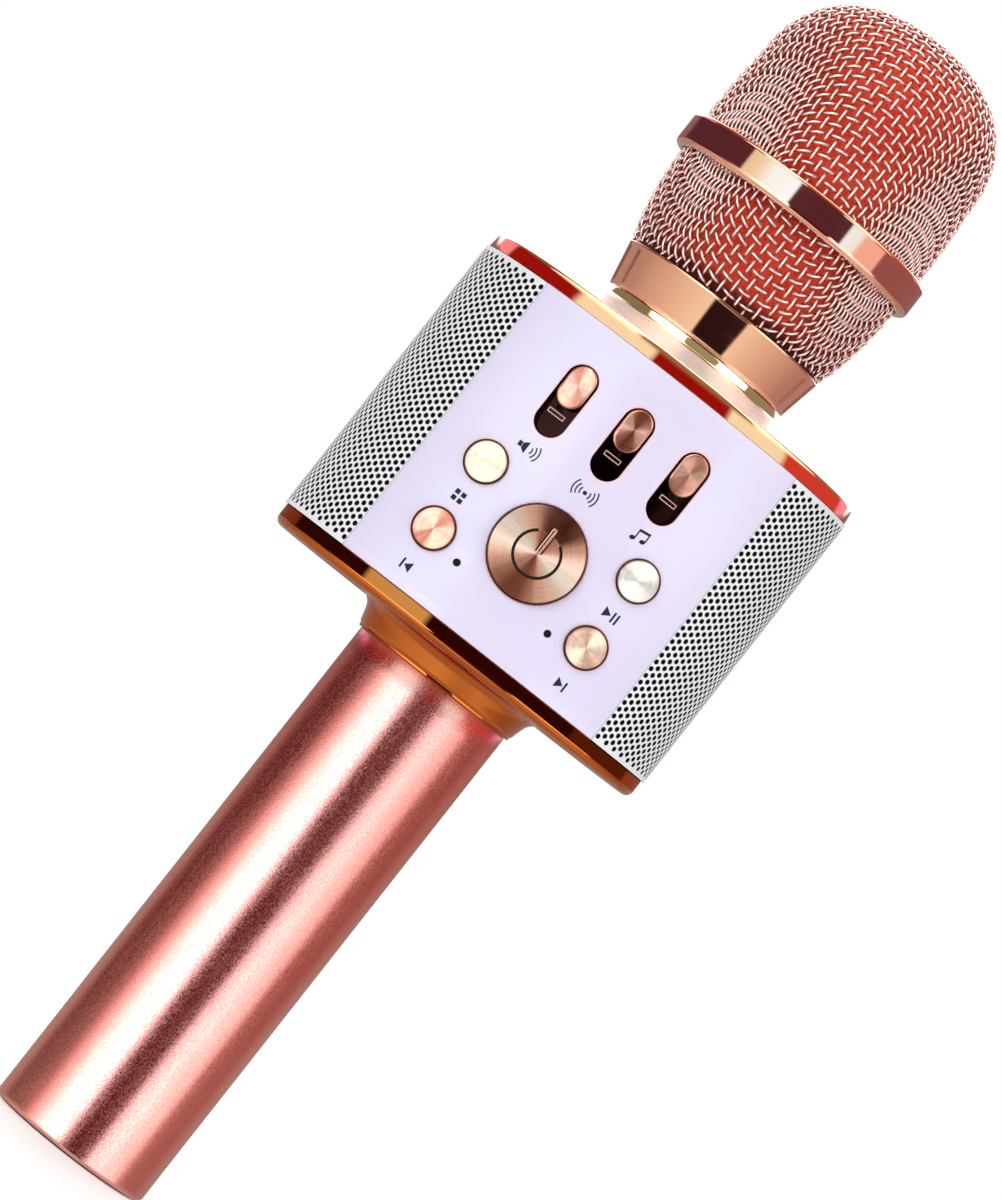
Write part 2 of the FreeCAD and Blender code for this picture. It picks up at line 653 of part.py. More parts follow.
def aux_jack():
    """A block with a round collar towards the rear and a blind bore."""
    at = ("$jack_x", "$jack_z")
    block = box("jack_block", around("$jack_x", 3), (13.5, 25), ("$port_z - 1.5", "$jack_z + 2.7"))
    body = fuse("jack_body", block, cylinder("jack_collar", 2.8, "y", (24, 28.3), at))
    node(cut("aux_jack", body, cylinder("jack_well", "$jack_bore", "y", (14.3, 30), at)))


# ---------------------------------------------------------------- speakers, firing left and right
# Distances near and far run outwards from the middle along X.

def disc(name, radius, near, far, side):
    """A cylinder on the speaker axis."""
    return cylinder(name, radius, "x", mirrored(near, far, side), (0, "$speaker_z"))


def taper(name, near_radius, far_radius, near, far, side):
    """A cone on the speaker axis."""
    solid = doc.addObject("Part::Cone", name)
    span = mirrored(near, far, side)
    low_radius, high_radius = (near_radius, far_radius)[::side]
    bind(solid, Radius1=low_radius, Radius2=high_radius, Height=length(span))
    return lay(solid, "x", span[0], (0, "$speaker_z"))


def basket(name, side):
    """A rim with a tapered, hollow bowl behind it."""
    ring = disc("basket_ring_" + name, "$speaker_rad", "$baffle_out", "$rim_face", side)
    bowl = taper("basket_bowl_" + name, 9.5, 15.7, 15, "$baffle_out", side)
    return cut("basket_" + name, fuse("basket_body_" + name, ring, bowl),
               taper("basket_hollow_" + name, 8.7, 14.9, 15.8, "$baffle_out", side),
               disc("basket_mouth_" + name, 15.2, "$baffle_out - 0.01", 27, side),
               disc("basket_neck_" + name, 5.2, 14, 17, side),
               *cylinders("basket_hole_" + name, 0.85, "x", mirrored(24, 28, side), RIM_SCREWS))


def magnet(name, side):
    """A disc with a ring groove around its pole."""
    groove = cut("magnet_groove_" + name, disc("magnet_gap_" + name, 5.1, 11.5, 16, side),
                 disc("magnet_pole_" + name, 4.3, 11, 17, side))
    return cut("magnet_" + name, disc("magnet_disc_" + name, 9.2, 9, 15, side), groove)


def surround(name, side):
    """A round roll with a flat lip on the basket rim."""
    roll = doc.addObject("Part::Torus", "surround_roll_" + name)
    bind(roll, Radius1="$roll_rad", Radius2=0.85)
    lay(roll, "x", 25.7 * side, (0, "$speaker_z"))
    lip = cut("surround_lip_" + name,
              disc("surround_lip_out_" + name, 15.7, "$rim_face", "$rim_face + 0.25", side),
              disc("surround_lip_in_" + name, "$roll_rad", 26, 27, side))
    return fuse("surround_" + name, roll, lip)


def speaker_frames():
    for label, make in (("speaker_baskets", basket), ("speaker_magnets", magnet),
                        ("speaker_surrounds", surround)):
        node(group(label, *[make(name, side) for name, side in SIDES]))


def speaker_screws():
    node(group("speaker_screws", *[
        screw(f"rim_screw_{name}_{i}", "x", f"{side} * $rim_face", at, -2.7 * side,
              shank=0.78, head=1.4, tall=0.8)
        for name, side in SIDES for i, at in enumerate(RIM_SCREWS)]))


def speaker_cones():
    """A cone with a domed centre and a coil tube behind it, on each side."""
    for name, side, label in (("r", 1, "right_speaker_cone"), ("l", -1, "left_speaker_cone")):
        shell = cut("cone_shell_" + name, taper("cone_out_" + name, 5.0, 13.2, 18, 24.4, side),
                    taper("cone_in_" + name, 4.7, 13.3, 18.5, 24.9, side))
        ball = doc.addObject("Part::Sphere", "cone_dome_" + name)
        bind(ball, Radius=7.0)
        place(ball, 15.0 * side, 0, "$speaker_z")
        dome = common("cone_cap_" + name, ball, disc("cone_cap_cut_" + name, 5.4, 18.4, 23, side))
        coil = cut("coil_" + name, disc("coil_out_" + name, 4.9, 13, 18.6, side),
                   disc("coil_in_" + name, 4.5, 12, 18.4, side))
        node(fuse(label, shell, dome, coil))


# ---------------------------------------------------------------- neck, capsule and head
SPIGOT_TOP = 183.2
MOUNT_LOW = 179.0
CAPSULE_LOW = 190.0
RING_TOP = 184.6
MESH_SPLIT = (205.6, 206.4)     # top of the lower mesh, foot of the upper mesh

# Outer outlines of the mesh, inner outline of the crown and the foam: (radius, height)
LOWER_MESH = [
    (20.45, RING_TOP), (21.45, 187.0), (22.15, 189.8), (22.65, 192.6), (23.1, 195.4),
    (23.38, 198.2), (23.5, 200.9), (23.55, MESH_SPLIT[0])]
UPPER_MESH = [
    (23.55, MESH_SPLIT[1]), (23.7, 210.7), (23.65, 214.9), (23.5, 219.1), (23.2, 223.3),
    (22.95, 226.4), (22.55, 229.5), (21.95, 232.3), (20.95, 235.0), (19.4, 237.4), (17.1, 239.8),
    (13.9, 241.9), (9.8, 243.5), (5.0, 244.5), (0.0, 244.8)]
CROWN_INSIDE = [(18.8, 236.75), (16.5, 239.1), (13.4, 241.1), (9.4, 242.65), (4.8, 243.6),
                (0.0, 243.9)]
FOAM = [
    (7.6, 187.0), (19.4, 187.0), (20.7, 191.0), (21.4, 196.0), (21.7, 201.0), (21.75, 208.0),
    (21.9, 214.0), (21.6, 221.0), (21.1, 227.0), (20.2, 231.5), (18.6, 235.4), (16.0, 238.5),
    (12.4, 240.8), (7.0, 242.4), (0.0, 242.9), (0.0, 198.6), (7.6, 198.6)]


def neck_spigot():
    """A flanged tube up through the upper cap."""
    fit = "$spigot_rad - 0.03"
    node(revolved("neck_spigot", [
        (12.5, 168.5), (19.0, 168.5), (19.0, "$skin_high + 1.8"), (fit, "$skin_high + 1.8"),
        (fit, SPIGOT_TOP), ("$spigot_bore", SPIGOT_TOP), ("$spigot_bore", MOUNT_LOW),
        (12.5, MOUNT_LOW)]))


def capsule_mount():
    """A flange in the spigot with a cup on top for the capsule."""
    fit = "$spigot_bore - 0.05"
    node(revolved("capsule_mount", [
        (1.5, MOUNT_LOW), (fit, MOUNT_LOW), (fit, 181.5), (6.5, 181.5), (6.5, 196.5),
        (5.0, 196.5), (5.0, CAPSULE_LOW), (1.5, CAPSULE_LOW)]))


def mic_capsule():
    node(fuse("mic_capsule", cylinder("capsule_can", 4.97, "z", (CAPSULE_LOW, 196.7)),
              cylinder("capsule_face", 3.6, "z", (196.5, 197))))


def neck_ring():
    bore, foot = "$spigot_rad + 0.04", "$neck_low + $head_gap"
    node(revolved("neck_ring", [
        (bore, foot), (18.75, foot), (18.95, f"{foot} + 0.2"), (20.5, 184.3), (20.5, RING_TOP),
        (bore, RING_TOP)]))


def inset(outline):
    """The outline moved inwards by the mesh wall."""
    return [(f"{radius!r} - $mesh_wall", height) for radius, height in outline]


def head_grilles():
    node(revolved("lower_grille", LOWER_MESH + inset(LOWER_MESH)[::-1]))
    inside = inset(UPPER_MESH[:9]) + CROWN_INSIDE
    node(revolved("upper_grille", UPPER_MESH + inside[::-1]))


def grille_band():
    """A band around the head with an inner rib between the two meshes."""
    rib_low, rib_high = MESH_SPLIT
    node(revolved("grille_band", [
        (23.6, "$band_low"), ("$band_rad - 1.0", "$band_low"),
        ("$band_rad - 0.3", "$band_low + 0.4"), ("$band_rad", "$band_low + 1.0"),
        ("$band_rad", "$band_high - 0.6"), ("$band_rad - 0.2", "$band_high - 0.2"),
        ("$band_rad - 0.6", "$band_high"), (23.75, "$band_high"),
        (23.75, rib_high), (22.0, rib_high), (22.0, rib_low), (23.6, rib_low)]))


def head_foam():
    node(revolved("head_foam", FOAM))


# ---------------------------------------------------------------- wires

def wire(name, points, radius, bend):
    """A round wire along straight runs joined by bends of a fixed radius at right angles."""
    points = [Vector(*point) for point in points]
    edges, start = [], points[0]
    for before, corner, after in zip(points, points[1:], points[2:]):
        back, ahead = (before - corner).normalize(), (after - corner).normalize()
        enter, leave = corner + back * bend, corner + ahead * bend
        middle = corner + (back + ahead) * bend - (back + ahead).normalize() * bend
        edges.append(Part.makeLine(start, enter))
        edges.append(Part.Arc(enter, middle, leave).toShape())
        start = leave
    edges.append(Part.makeLine(start, points[-1]))
    section = Part.Wire([Part.makeCircle(radius, points[0], points[1] - points[0])])
    lead = doc.addObject("Part::Feature", name)
    lead.Shape = Part.Wire(edges).makePipeShell([section], True, True)
    return lead


def battery_leads():
    """Two leads from the top of the cell to the socket on the board."""
    cell_top, turn_z = number(CELL_TOP), number("$skin_low + 1.1")
    start_y, socket_y = -6.0, -20.9
    node(group("battery_leads", *[
        wire(f"battery_lead_{i}", [(x, start_y, cell_top), (x, start_y, turn_z),
                                   (x, socket_y, turn_z), (x, socket_y, SOCKET_LOW)], 0.5, 1.0)
        for i, x in enumerate((-1.6, 1.6))]))


def capsule_leads():
    """Two leads from the capsule down to the back of the board."""
    turn_z = 158.0
    node(group("capsule_leads", *[
        wire(f"capsule_lead_{i}", [(x, 0, CAPSULE_LOW), (x, 0, turn_z),
                                   (x, number(BOARD_BACK), turn_z)], 0.4, 2.0)
        for i, x in enumerate((-0.7, 0.7))]))


# ---------------------------------------------------------------- build, check and write
for build in (
        handle_tube, handle_end_cap, battery_cell, battery_cradle, battery_pads,
        bottom_cap, top_cap, chassis, cap_screws, panels, grilles, speaker_scrims,
        keys, power_button, slider_beds, knobs_and_levers, status_lights,
        main_board, board_components, port_board, switch_housings, fader_housings,
        board_screws, charging_port, card_socket, aux_jack,
        speaker_frames, speaker_screws, speaker_cones,
        neck_spigot, capsule_mount, mic_capsule, neck_ring, head_grilles, grille_band,
        head_foam, battery_leads, capsule_leads):
    build()
doc.recompute()

faults = [f"{obj.Name} is {', '.join(obj.State)}" for obj in doc.Objects
          if "Invalid" in obj.State or "Error" in obj.State]
faults += [f"{piece.Label} has no valid shape" for piece in NODES
           if piece.Shape.isNull() or not piece.Shape.isValid() or not piece.Shape.Solids]
if len({piece.Label for piece in NODES}) != len(NODES):
    faults.append("labels repeat")
if faults:
    raise RuntimeError("; ".join(faults))
os.makedirs("parts", exist_ok=True)
for piece in NODES:
    piece.Shape.exportStep(f"parts/{piece.Label}.step")
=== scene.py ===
# A hand-held microphone with speakers in its body. It stands upright along +Z with the bottom
# of the handle at z = 0. The body is an oval column, wide in X, and its controls face -Y.
# Above it sits a round head of woven wire. Shapes are in millimetres unless noted;
# materials, lights and camera are in metres.
import bpy
import bmesh
import math
import numpy as np
from mathutils import Vector, Matrix
from mathutils.geometry import delaunay_2d_cdt


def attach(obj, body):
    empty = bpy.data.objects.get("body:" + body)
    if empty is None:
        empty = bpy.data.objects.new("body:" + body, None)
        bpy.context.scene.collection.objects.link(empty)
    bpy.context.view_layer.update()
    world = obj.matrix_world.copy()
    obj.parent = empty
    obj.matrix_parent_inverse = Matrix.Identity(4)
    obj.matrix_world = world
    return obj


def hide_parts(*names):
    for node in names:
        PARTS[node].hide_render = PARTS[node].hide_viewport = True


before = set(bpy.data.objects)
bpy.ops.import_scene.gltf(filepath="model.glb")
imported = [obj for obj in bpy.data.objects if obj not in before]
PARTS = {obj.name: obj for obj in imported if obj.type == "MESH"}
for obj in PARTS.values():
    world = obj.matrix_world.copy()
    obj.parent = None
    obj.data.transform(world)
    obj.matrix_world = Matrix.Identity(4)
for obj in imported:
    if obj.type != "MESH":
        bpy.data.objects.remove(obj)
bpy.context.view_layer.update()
MM = 0.001
PI = math.pi

# ------------------------------------------------------------------ driving dimensions
BODY_X, BODY_Y, WALL = 39.7, 30.0, 1.8          # half-axes of the oval body, panel thickness
PANEL_X = 27.06                                 # half-width of the front and rear panels
PANEL_LOW, PANEL_HIGH = 111.34, 168.16
KEYS = {"mode": (-16.5, 137.4), "play": (16.5, 137.4),
        "previous": (-16.5, 123.0), "next": (16.5, 123.0)}      # centres (x, z)
KEY_RADIUS, KEY_PROUD = 3.72, 0.7               # proud: height outside the panel
POWER_Z, POWER_RADIUS, POWER_PROUD = 130.3, 8.5, 0.6
POWER_Y = -(BODY_Y + POWER_PROUD)               # outer face of the power key
POWER_BACK = -26.1                              # back of the power key, where its stem starts
PLUNGER_Y = -22.3                               # plane where keys meet their plungers
FADERS = {"volume": -12.1, "echo": 0.0, "music": 12.1}          # x of each fader


# ------------------------------------------------------------------ shader node helpers
FINISH = {}                                     # finished materials by name


def shade(colour, gain, lift=0.0):
    """The colour scaled and raised, held at full brightness."""
    return tuple(min(1.0, v * gain + lift) for v in colour)


class Nodes:
    """Builds shader nodes in one tree."""

    def __init__(self, tree):
        self.tree = tree
        tree.nodes.clear()

    def node(self, kind, **settings):
        made = self.tree.nodes.new(kind)
        for key, value in settings.items():
            setattr(made, key, value)
        return made

    def feed(self, socket, value):
        """Link an output, or set a plain value; colours get full alpha."""
        if isinstance(value, bpy.types.NodeSocket):
            self.tree.links.new(value, socket)
        elif isinstance(value, tuple) and len(value) == 3 and socket.type == "RGBA":
            socket.default_value = (*value, 1.0)
        else:
            socket.default_value = value

    def math(self, operation, first, second=0.0):
        made = self.node("ShaderNodeMath", operation=operation)
        self.feed(made.inputs[0], first)
        self.feed(made.inputs[1], second)
        return made.outputs[0]

    def invert(self, value):
        return self.math("SUBTRACT", 1.0, value)

    def mix(self, factor, first, second):
        made = self.node("ShaderNodeMix", data_type="RGBA")
        for slot, value in ((0, factor), (6, first), (7, second)):
            self.feed(made.inputs[slot], value)
        return made.outputs[2]

    def ramp(self, value, stops):
        made = self.node("ShaderNodeValToRGB")
        elements = made.color_ramp.elements
        while len(elements) > 1:
            elements.remove(elements[-1])
        for i, (place, colour) in enumerate(stops):
            element = elements.new(place) if i else elements[0]
            element.position = place
            element.color = (*colour, 1.0)
        self.feed(made.inputs["Fac"], value)
        return made.outputs["Color"]

    def split(self, vector):
        made = self.node("ShaderNodeSeparateXYZ")
        self.feed(made.inputs[0], vector)
        return made.outputs


class Mat(Nodes):
    """A procedural material; its textures use the part's own coordinates, in metres."""

    def __init__(self, name):
        self.name = name
        self.material = bpy.data.materials.new(name)
        self.material.use_nodes = True
        super().__init__(self.material.node_tree)
        self.output = self.node("ShaderNodeOutputMaterial")
        self.shader = self.node("ShaderNodeBsdfPrincipled")
        self.feed(self.output.inputs[0], self.shader.outputs[0])
        self.coords = self.node("ShaderNodeTexCoord").outputs["Object"]

    def finish(self, **inputs):
        """Set the shader's inputs and file the material under its name."""
        for key, value in inputs.items():
            self.feed(self.shader.inputs[key.replace("_", " ")], value)
        FINISH[self.name] = self.material
        return self.material

    def noise(self, scale, detail=2.0, rough=0.5, stretch=None):
        made = self.node("ShaderNodeTexNoise")
        made.inputs["Scale"].default_value = scale
        made.inputs["Detail"].default_value = detail
        made.inputs["Roughness"].default_value = rough
        source = self.coords
        if stretch:
            mapping = self.node("ShaderNodeMapping")
            mapping.inputs["Scale"].default_value = stretch
            self.feed(mapping.inputs["Vector"], source)
            source = mapping.outputs[0]
        self.feed(made.inputs["Vector"], source)
        return made.outputs["Fac"]

    def line_noise(self, along, scale, detail):
        """Noise in one dimension, read at the value `along`."""
        made = self.node("ShaderNodeTexNoise", noise_dimensions="1D")
        made.inputs["Scale"].default_value = scale
        made.inputs["Detail"].default_value = detail
        self.feed(made.inputs["W"], along)
        return made.outputs["Fac"]

    def voronoi(self, scale, feature="F1"):
        made = self.node("ShaderNodeTexVoronoi", feature=feature)
        made.inputs["Scale"].default_value = scale
        self.feed(made.inputs["Vector"], self.coords)
        return made.outputs["Distance"]

    def halo(self):
        """The tint weight stored on each vertex."""
        return self.node("ShaderNodeAttribute", attribute_name="halo").outputs["Fac"]

    def remap(self, value, to, span=(0.3, 0.7)):
        made = self.node("ShaderNodeMapRange")
        for i, limit in enumerate((*span, *to)):
            made.inputs[i + 1].default_value = limit
        self.feed(made.inputs[0], value)
        return made.outputs[0]

    def tint(self, colour, other, where, to, span=(0.3, 0.7)):
        """Move towards another colour by the remapped value `where`."""
        return self.mix(self.remap(where, to, span), colour, other)

    def worn(self, colour, bright, amount, span=(0.52, 0.62)):
        """Brighten the convex edges."""
        point = self.node("ShaderNodeNewGeometry").outputs["Pointiness"]
        edge = self.remap(point, to=(0, 1), span=span)
        return self.tint(colour, bright, edge, to=(0, amount), span=(0, 1))

    def bump(self, height, strength, dist):
        made = self.node("ShaderNodeBump")
        made.inputs["Strength"].default_value = strength
        made.inputs["Distance"].default_value = dist
        self.feed(made.inputs["Height"], height)
        return made.outputs["Normal"]


# ------------------------------------------------------------------ materials
def satin_metal():
    """Fine-grained rose metal for the handle."""
    mat = Mat("rose_satin")
    colour, dark, grain = (0.93, 0.42, 0.39), (0.45, 0.08, 0.08), 5200.0
    broad = mat.noise(scale=45, detail=3, rough=0.55)
    fine = mat.noise(scale=grain, detail=1)
    spark = mat.noise(scale=grain * 0.6, detail=1)
    rub = mat.noise(scale=900, detail=4, rough=0.6, stretch=(1, 1, 0.12))
    tone = mat.tint(colour, dark, broad, to=(0, 0.06), span=(0.35, 0.7))
    tone = mat.tint(tone, dark, fine, to=(0.16, 0), span=(0.3, 0.72))
    tone = mat.worn(tone, shade(colour, 1.25), amount=0.35)
    dull = mat.math("ADD", mat.remap(spark, to=(0.15, 0.3)),
                    mat.remap(rub, to=(0, 0.05), span=(0.4, 0.7)))
    relief = mat.math("ADD", fine, spark)
    mat.finish(Base_Color=tone, Metallic=1.0, Roughness=dull,
               Normal=mat.bump(relief, strength=0.2, dist=0.00005))


def polished_metal(name, colour, rough, spread=1.0):
    """Mirror plating; `spread` is how much smears and hairlines dull it."""
    mat = Mat(name)
    haze = mat.noise(scale=60, detail=4, rough=0.6)
    smear = mat.noise(scale=260, detail=3, rough=0.6, stretch=(1, 1, 0.2))
    hair = mat.noise(scale=1500, stretch=(0.12, 0.12, 3.0))
    tone = mat.tint(colour, shade(colour, 0.86), haze, to=(0, 0.10), span=(0.35, 0.7))
    tone = mat.worn(tone, shade(colour, 1.2, lift=0.04), amount=0.25, span=(0.53, 0.7))
    smeared = mat.remap(smear, to=(rough, rough + 0.05 * spread), span=(0.4, 0.72))
    scratched = mat.remap(hair, to=(0, 0.06 * spread), span=(0.62, 0.75))
    mat.finish(Base_Color=tone, Metallic=1.0, Roughness=mat.math("ADD", smeared, scratched),
               Normal=mat.bump(hair, strength=0.03, dist=0.00002))


def plastic(name, colour, rough, grain, depth, mottling, specular):
    mat = Mat(name)
    broad = mat.noise(scale=80, detail=3, rough=0.6)
    fine = mat.noise(scale=grain, rough=0.6)
    tone = mat.tint(colour, shade(colour, 0.6, lift=0.015), broad, to=(0, mottling))
    tone = mat.worn(tone, shade(colour, 1.3, lift=0.02), amount=0.3)
    patches = mat.noise(scale=300, detail=3, rough=0.6)
    mat.finish(Base_Color=tone, Roughness=mat.remap(patches, to=(rough - 0.06, rough + 0.1)),
               Specular_IOR_Level=specular, Normal=mat.bump(fine, strength=depth, dist=0.00004))


def brushed_steel():
    mat = Mat("steel_zinc")
    colour, rough = (0.60, 0.60, 0.61), 0.3
    line = mat.noise(scale=2400, detail=3, rough=0.6, stretch=(0.06, 1, 1))
    broad = mat.noise(scale=90, detail=3)
    tone = mat.tint(colour, shade(colour, 0.6), line, to=(0, 0.3), span=(0.35, 0.7))
    tone = mat.tint(tone, shade(colour, 0.8), broad, to=(0, 0.25), span=(0.45, 0.75))
    tone = mat.worn(tone, shade(colour, 1.3), amount=0.4)
    mat.finish(Base_Color=tone, Metallic=1.0,
               Roughness=mat.remap(line, to=(rough - 0.06, rough + 0.12)),
               Anisotropic=0.5, Normal=mat.bump(line, strength=0.12, dist=0.00003))


def spun_metal(name, colour, centre, fan, rough=0.3, aniso=0.97, pitch=0.00022, depth=0.5,
               hub=0.0, bright=None, edge=0.0):
    """Circular machining about `centre` (x, z): fine rings, and a highlight painted into the colour as
    fans.

    `fan` is the angle and strength of the dark fans, a painted reflection. A `hub` radius turns the
    fans inside it and brings in the `bright` colour, a painted highlight; `edge` is the radius of a
    turned-over edge darkened by painted shade.
    """
    mat = Mat(name)
    parts = mat.split(mat.coords)
    off_x = mat.math("SUBTRACT", parts["X"], centre[0] * MM)
    off_z = mat.math("SUBTRACT", parts["Z"], centre[1] * MM)
    squares = [mat.math("MULTIPLY", off, off) for off in (off_x, off_z)]
    radius = mat.math("SQRT", mat.math("ADD", *squares))
    angle = mat.math("ARCTAN2", off_z, off_x)

    # the tangent points away from the centre
    radial = mat.node("ShaderNodeCombineXYZ")
    mat.feed(radial.inputs["X"], off_x)
    mat.feed(radial.inputs["Z"], off_z)
    radial.inputs["Y"].default_value = 1e-6
    to_world = mat.node("ShaderNodeVectorTransform", vector_type="VECTOR",
                        convert_from="OBJECT", convert_to="WORLD")
    mat.feed(to_world.inputs[0], radial.outputs[0])
    tangent = mat.node("ShaderNodeVectorMath", operation="NORMALIZE")
    mat.feed(tangent.inputs[0], to_world.outputs[0])

    def turned(degrees):
        return mat.math("SUBTRACT", angle, math.radians(degrees))

    def lobes(around):
        return mat.math("COSINE", mat.math("MULTIPLY", around, 2.0))

    ring = mat.line_noise(radius, scale=0.45 / pitch, detail=2.0)
    broad = mat.noise(scale=260, detail=3)
    fan_angle, fan_dark = fan
    # painted reflection: dark fans by angle stand in for the spun highlight
    dull = mat.remap(lobes(turned(fan_angle)), to=(0, fan_dark), span=(0.25, 0.92))
    if hub:
        inner = mat.remap(radius, to=(1, 0), span=((hub - 0.1) * MM, (hub + 0.1) * MM))
        hub_fan_shade = mat.remap(lobes(turned(fan_angle + 12)), to=(0, fan_dark), span=(0.5, 0.97))
        dull = mat.math("ADD", mat.math("MULTIPLY", dull, mat.invert(inner)),
                        mat.math("MULTIPLY", hub_fan_shade, inner))
    # random spokes break up the painted fans
    spokes = mat.line_noise(angle, scale=2.2, detail=4.0)
    dull = mat.math("ADD", dull, mat.remap(spokes, to=(0, 0.22), span=(0.42, 0.7)))
    tone = mat.tint(colour, shade(colour, 0.5), ring, to=(0, 0.34), span=(0.35, 0.68))
    if hub:
        # painted highlight: bright lobes inside the hub
        tone = mat.tint(tone, bright, lobes(angle), to=(0, 0.85), span=(0.1, 0.9))
    tone = mat.mix(dull, tone, (colour[0] * 0.42, colour[1] * 0.25, colour[2] * 0.22))
    if hub:
        # painted shade: a dark sector near the top, outside the hub
        crown_shade = mat.remap(mat.math("COSINE", turned(84)), to=(0, 0.85), span=(0.80, 0.93))
        crown_shade = mat.math("MULTIPLY", crown_shade, mat.invert(inner))
        tone = mat.mix(crown_shade, tone, (0.10, 0.022, 0.016))
    tone = mat.tint(tone, shade(colour, 1.1), broad, to=(0, 0.12), span=(0.4, 0.7))
    # painted shade: darker towards the turned-over edge
    if edge:
        tone = mat.tint(tone, (0.10, 0.024, 0.018), radius, to=(0, 0.9),
                        span=((edge - 0.30) * MM, (edge - 0.12) * MM))
    return mat.finish(Base_Color=tone, Metallic=1.0, Anisotropic=aniso,
                      Roughness=mat.remap(ring, to=(rough - 0.03, rough + 0.04)),
                      Tangent=tangent.outputs[0],
                      Normal=mat.bump(ring, strength=depth, dist=0.00001))


def trim_metal():
    """Mirror plating, rose on the rim; a painted reflection of the white overhead pales it to
    champagne on the upper slope.
    """
    mat = Mat("rose_trim")
    halo = mat.halo()
    haze = mat.noise(scale=60, detail=4, rough=0.6)
    smear = mat.noise(scale=260, detail=3, rough=0.6, stretch=(1, 1, 0.2))
    # painted reflection: the halo weight pales the rose to champagne, then near white, and eases off
    # the metal
    tone = mat.tint((0.93, 0.46, 0.28), (0.97, 0.83, 0.66), halo, to=(0, 1), span=(0, 0.7))
    tone = mat.tint(tone, (0.97, 0.93, 0.885), halo, to=(0, 1), span=(0.75, 1))
    tone = mat.tint(tone, (0.80, 0.45, 0.32), haze, to=(0, 0.1), span=(0.35, 0.7))
    dull = mat.math("ADD", mat.remap(smear, to=(0.03, 0.08), span=(0.4, 0.72)),
                    mat.remap(halo, to=(0, 0.34), span=(0.75, 1)))
    mat.finish(Base_Color=tone, Metallic=mat.remap(halo, to=(1, 0.6), span=(0.7, 1)),
               Roughness=dull, Normal=mat.bump(smear, strength=0.02, dist=0.00002))


def mesh_wire():
    """Drawn wire with painted light: a painted highlight where it rides over, painted shade where it
    dips under.
    """
    mat = Mat("mesh_wire")
    halo = mat.halo()
    dirt = mat.noise(scale=700, detail=3, rough=0.6)
    height = mat.math("ADD", halo, mat.remap(dirt, to=(-0.12, 0.12)))
    # painted light: dark at the dips, bright at the crests; dirt jitters it
    tone = mat.ramp(height, [(0.0, (0.07, 0.012, 0.013)), (0.38, (0.36, 0.09, 0.09)),
                             (0.62, (1.0, 0.68, 0.64)), (1.0, (1.0, 0.92, 0.90))])
    mat.finish(Base_Color=tone, Metallic=0.78,
               Roughness=mat.remap(height, to=(0.42, 0.22), span=(0, 1)),
               Normal=mat.bump(dirt, strength=0.05, dist=0.00002))


def scrim_cloth():
    mat = Mat("scrim_black")
    colour, pitch = (0.012, 0.012, 0.013), 0.0006
    threads = []
    for direction in ("Z", "Y"):
        wave = mat.node("ShaderNodeTexWave", wave_type="BANDS", bands_direction=direction)
        wave.inputs["Scale"].default_value = 1 / pitch / 6.3
        wave.inputs["Distortion"].default_value = 0.6
        mat.feed(wave.inputs["Vector"], mat.coords)
        threads.append(wave.outputs["Fac"])
    height = mat.math("MAXIMUM", *threads)
    fuzz = mat.noise(scale=2600, detail=3, rough=0.7)
    # painted shade between the threads
    tone = mat.tint(colour, shade(colour, 0.4), height, to=(0.7, 0), span=(0.2, 0.9))
    tone = mat.tint(tone, shade(colour, 1.8, lift=0.01), fuzz, to=(0, 0.4), span=(0.4, 0.7))
    mat.finish(Base_Color=tone, Roughness=mat.remap(fuzz, to=(0.8, 0.95)), Sheen_Weight=0.05,
               Sheen_Roughness=0.4, Specular_IOR_Level=0.1,
               Normal=mat.bump(height, strength=0.5, dist=0.0001))


def foam():
    """Open-cell red foam with painted shade: dark pores, a darker outline on its steep sides and a
    dark lower edge.
    """
    mat = Mat("foam_red")
    cells = mat.voronoi(scale=1500)
    fine_cells = mat.voronoi(scale=2900)
    broad = mat.noise(scale=120, detail=3, rough=0.6)
    # painted shade in the pores: dark at the cell centres
    tone = mat.tint((0.84, 0.062, 0.030), (0.34, 0.010, 0.006), cells,
                    to=(0.75, 0), span=(0.05, 0.55))
    tone = mat.tint(tone, (0.92, 0.13, 0.06), broad, to=(0, 0.5), span=(0.42, 0.7))
    # painted shade on the steep sides, where the foam turns away
    facing = mat.node("ShaderNodeLayerWeight")
    facing.inputs["Blend"].default_value = 0.5
    height = mat.split(mat.coords)["Z"]
    normal = mat.split(mat.node("ShaderNodeNewGeometry").outputs["Normal"])
    upright = mat.remap(normal["Z"], to=(1, 0), span=(0.12, 0.6))
    outline = mat.remap(facing.outputs["Facing"], to=(0, 0.88), span=(0.10, 0.62))
    tone = mat.mix(mat.math("MULTIPLY", upright, outline), tone, (0.12, 0.004, 0.006))
    # painted shade at the lower edge, where the foam stops above the neck
    tone = mat.tint(tone, (0.03, 0.002, 0.003), height, to=(0.9, 0), span=(0.1862, 0.1885))
    relief = mat.math("ADD", cells, mat.math("MULTIPLY", fine_cells, 0.5))
    mat.finish(Base_Color=tone, Roughness=mat.remap(fine_cells, to=(0.75, 0.95), span=(0, 0.5)),
               Specular_IOR_Level=0.25, Sheen_Weight=0.35, Sheen_Tint=(1.0, 0.55, 0.45),
               Subsurface_Weight=0.15, Subsurface_Radius=(0.002, 0.0006, 0.0004),
               Normal=mat.bump(relief, strength=0.7, dist=0.00025))


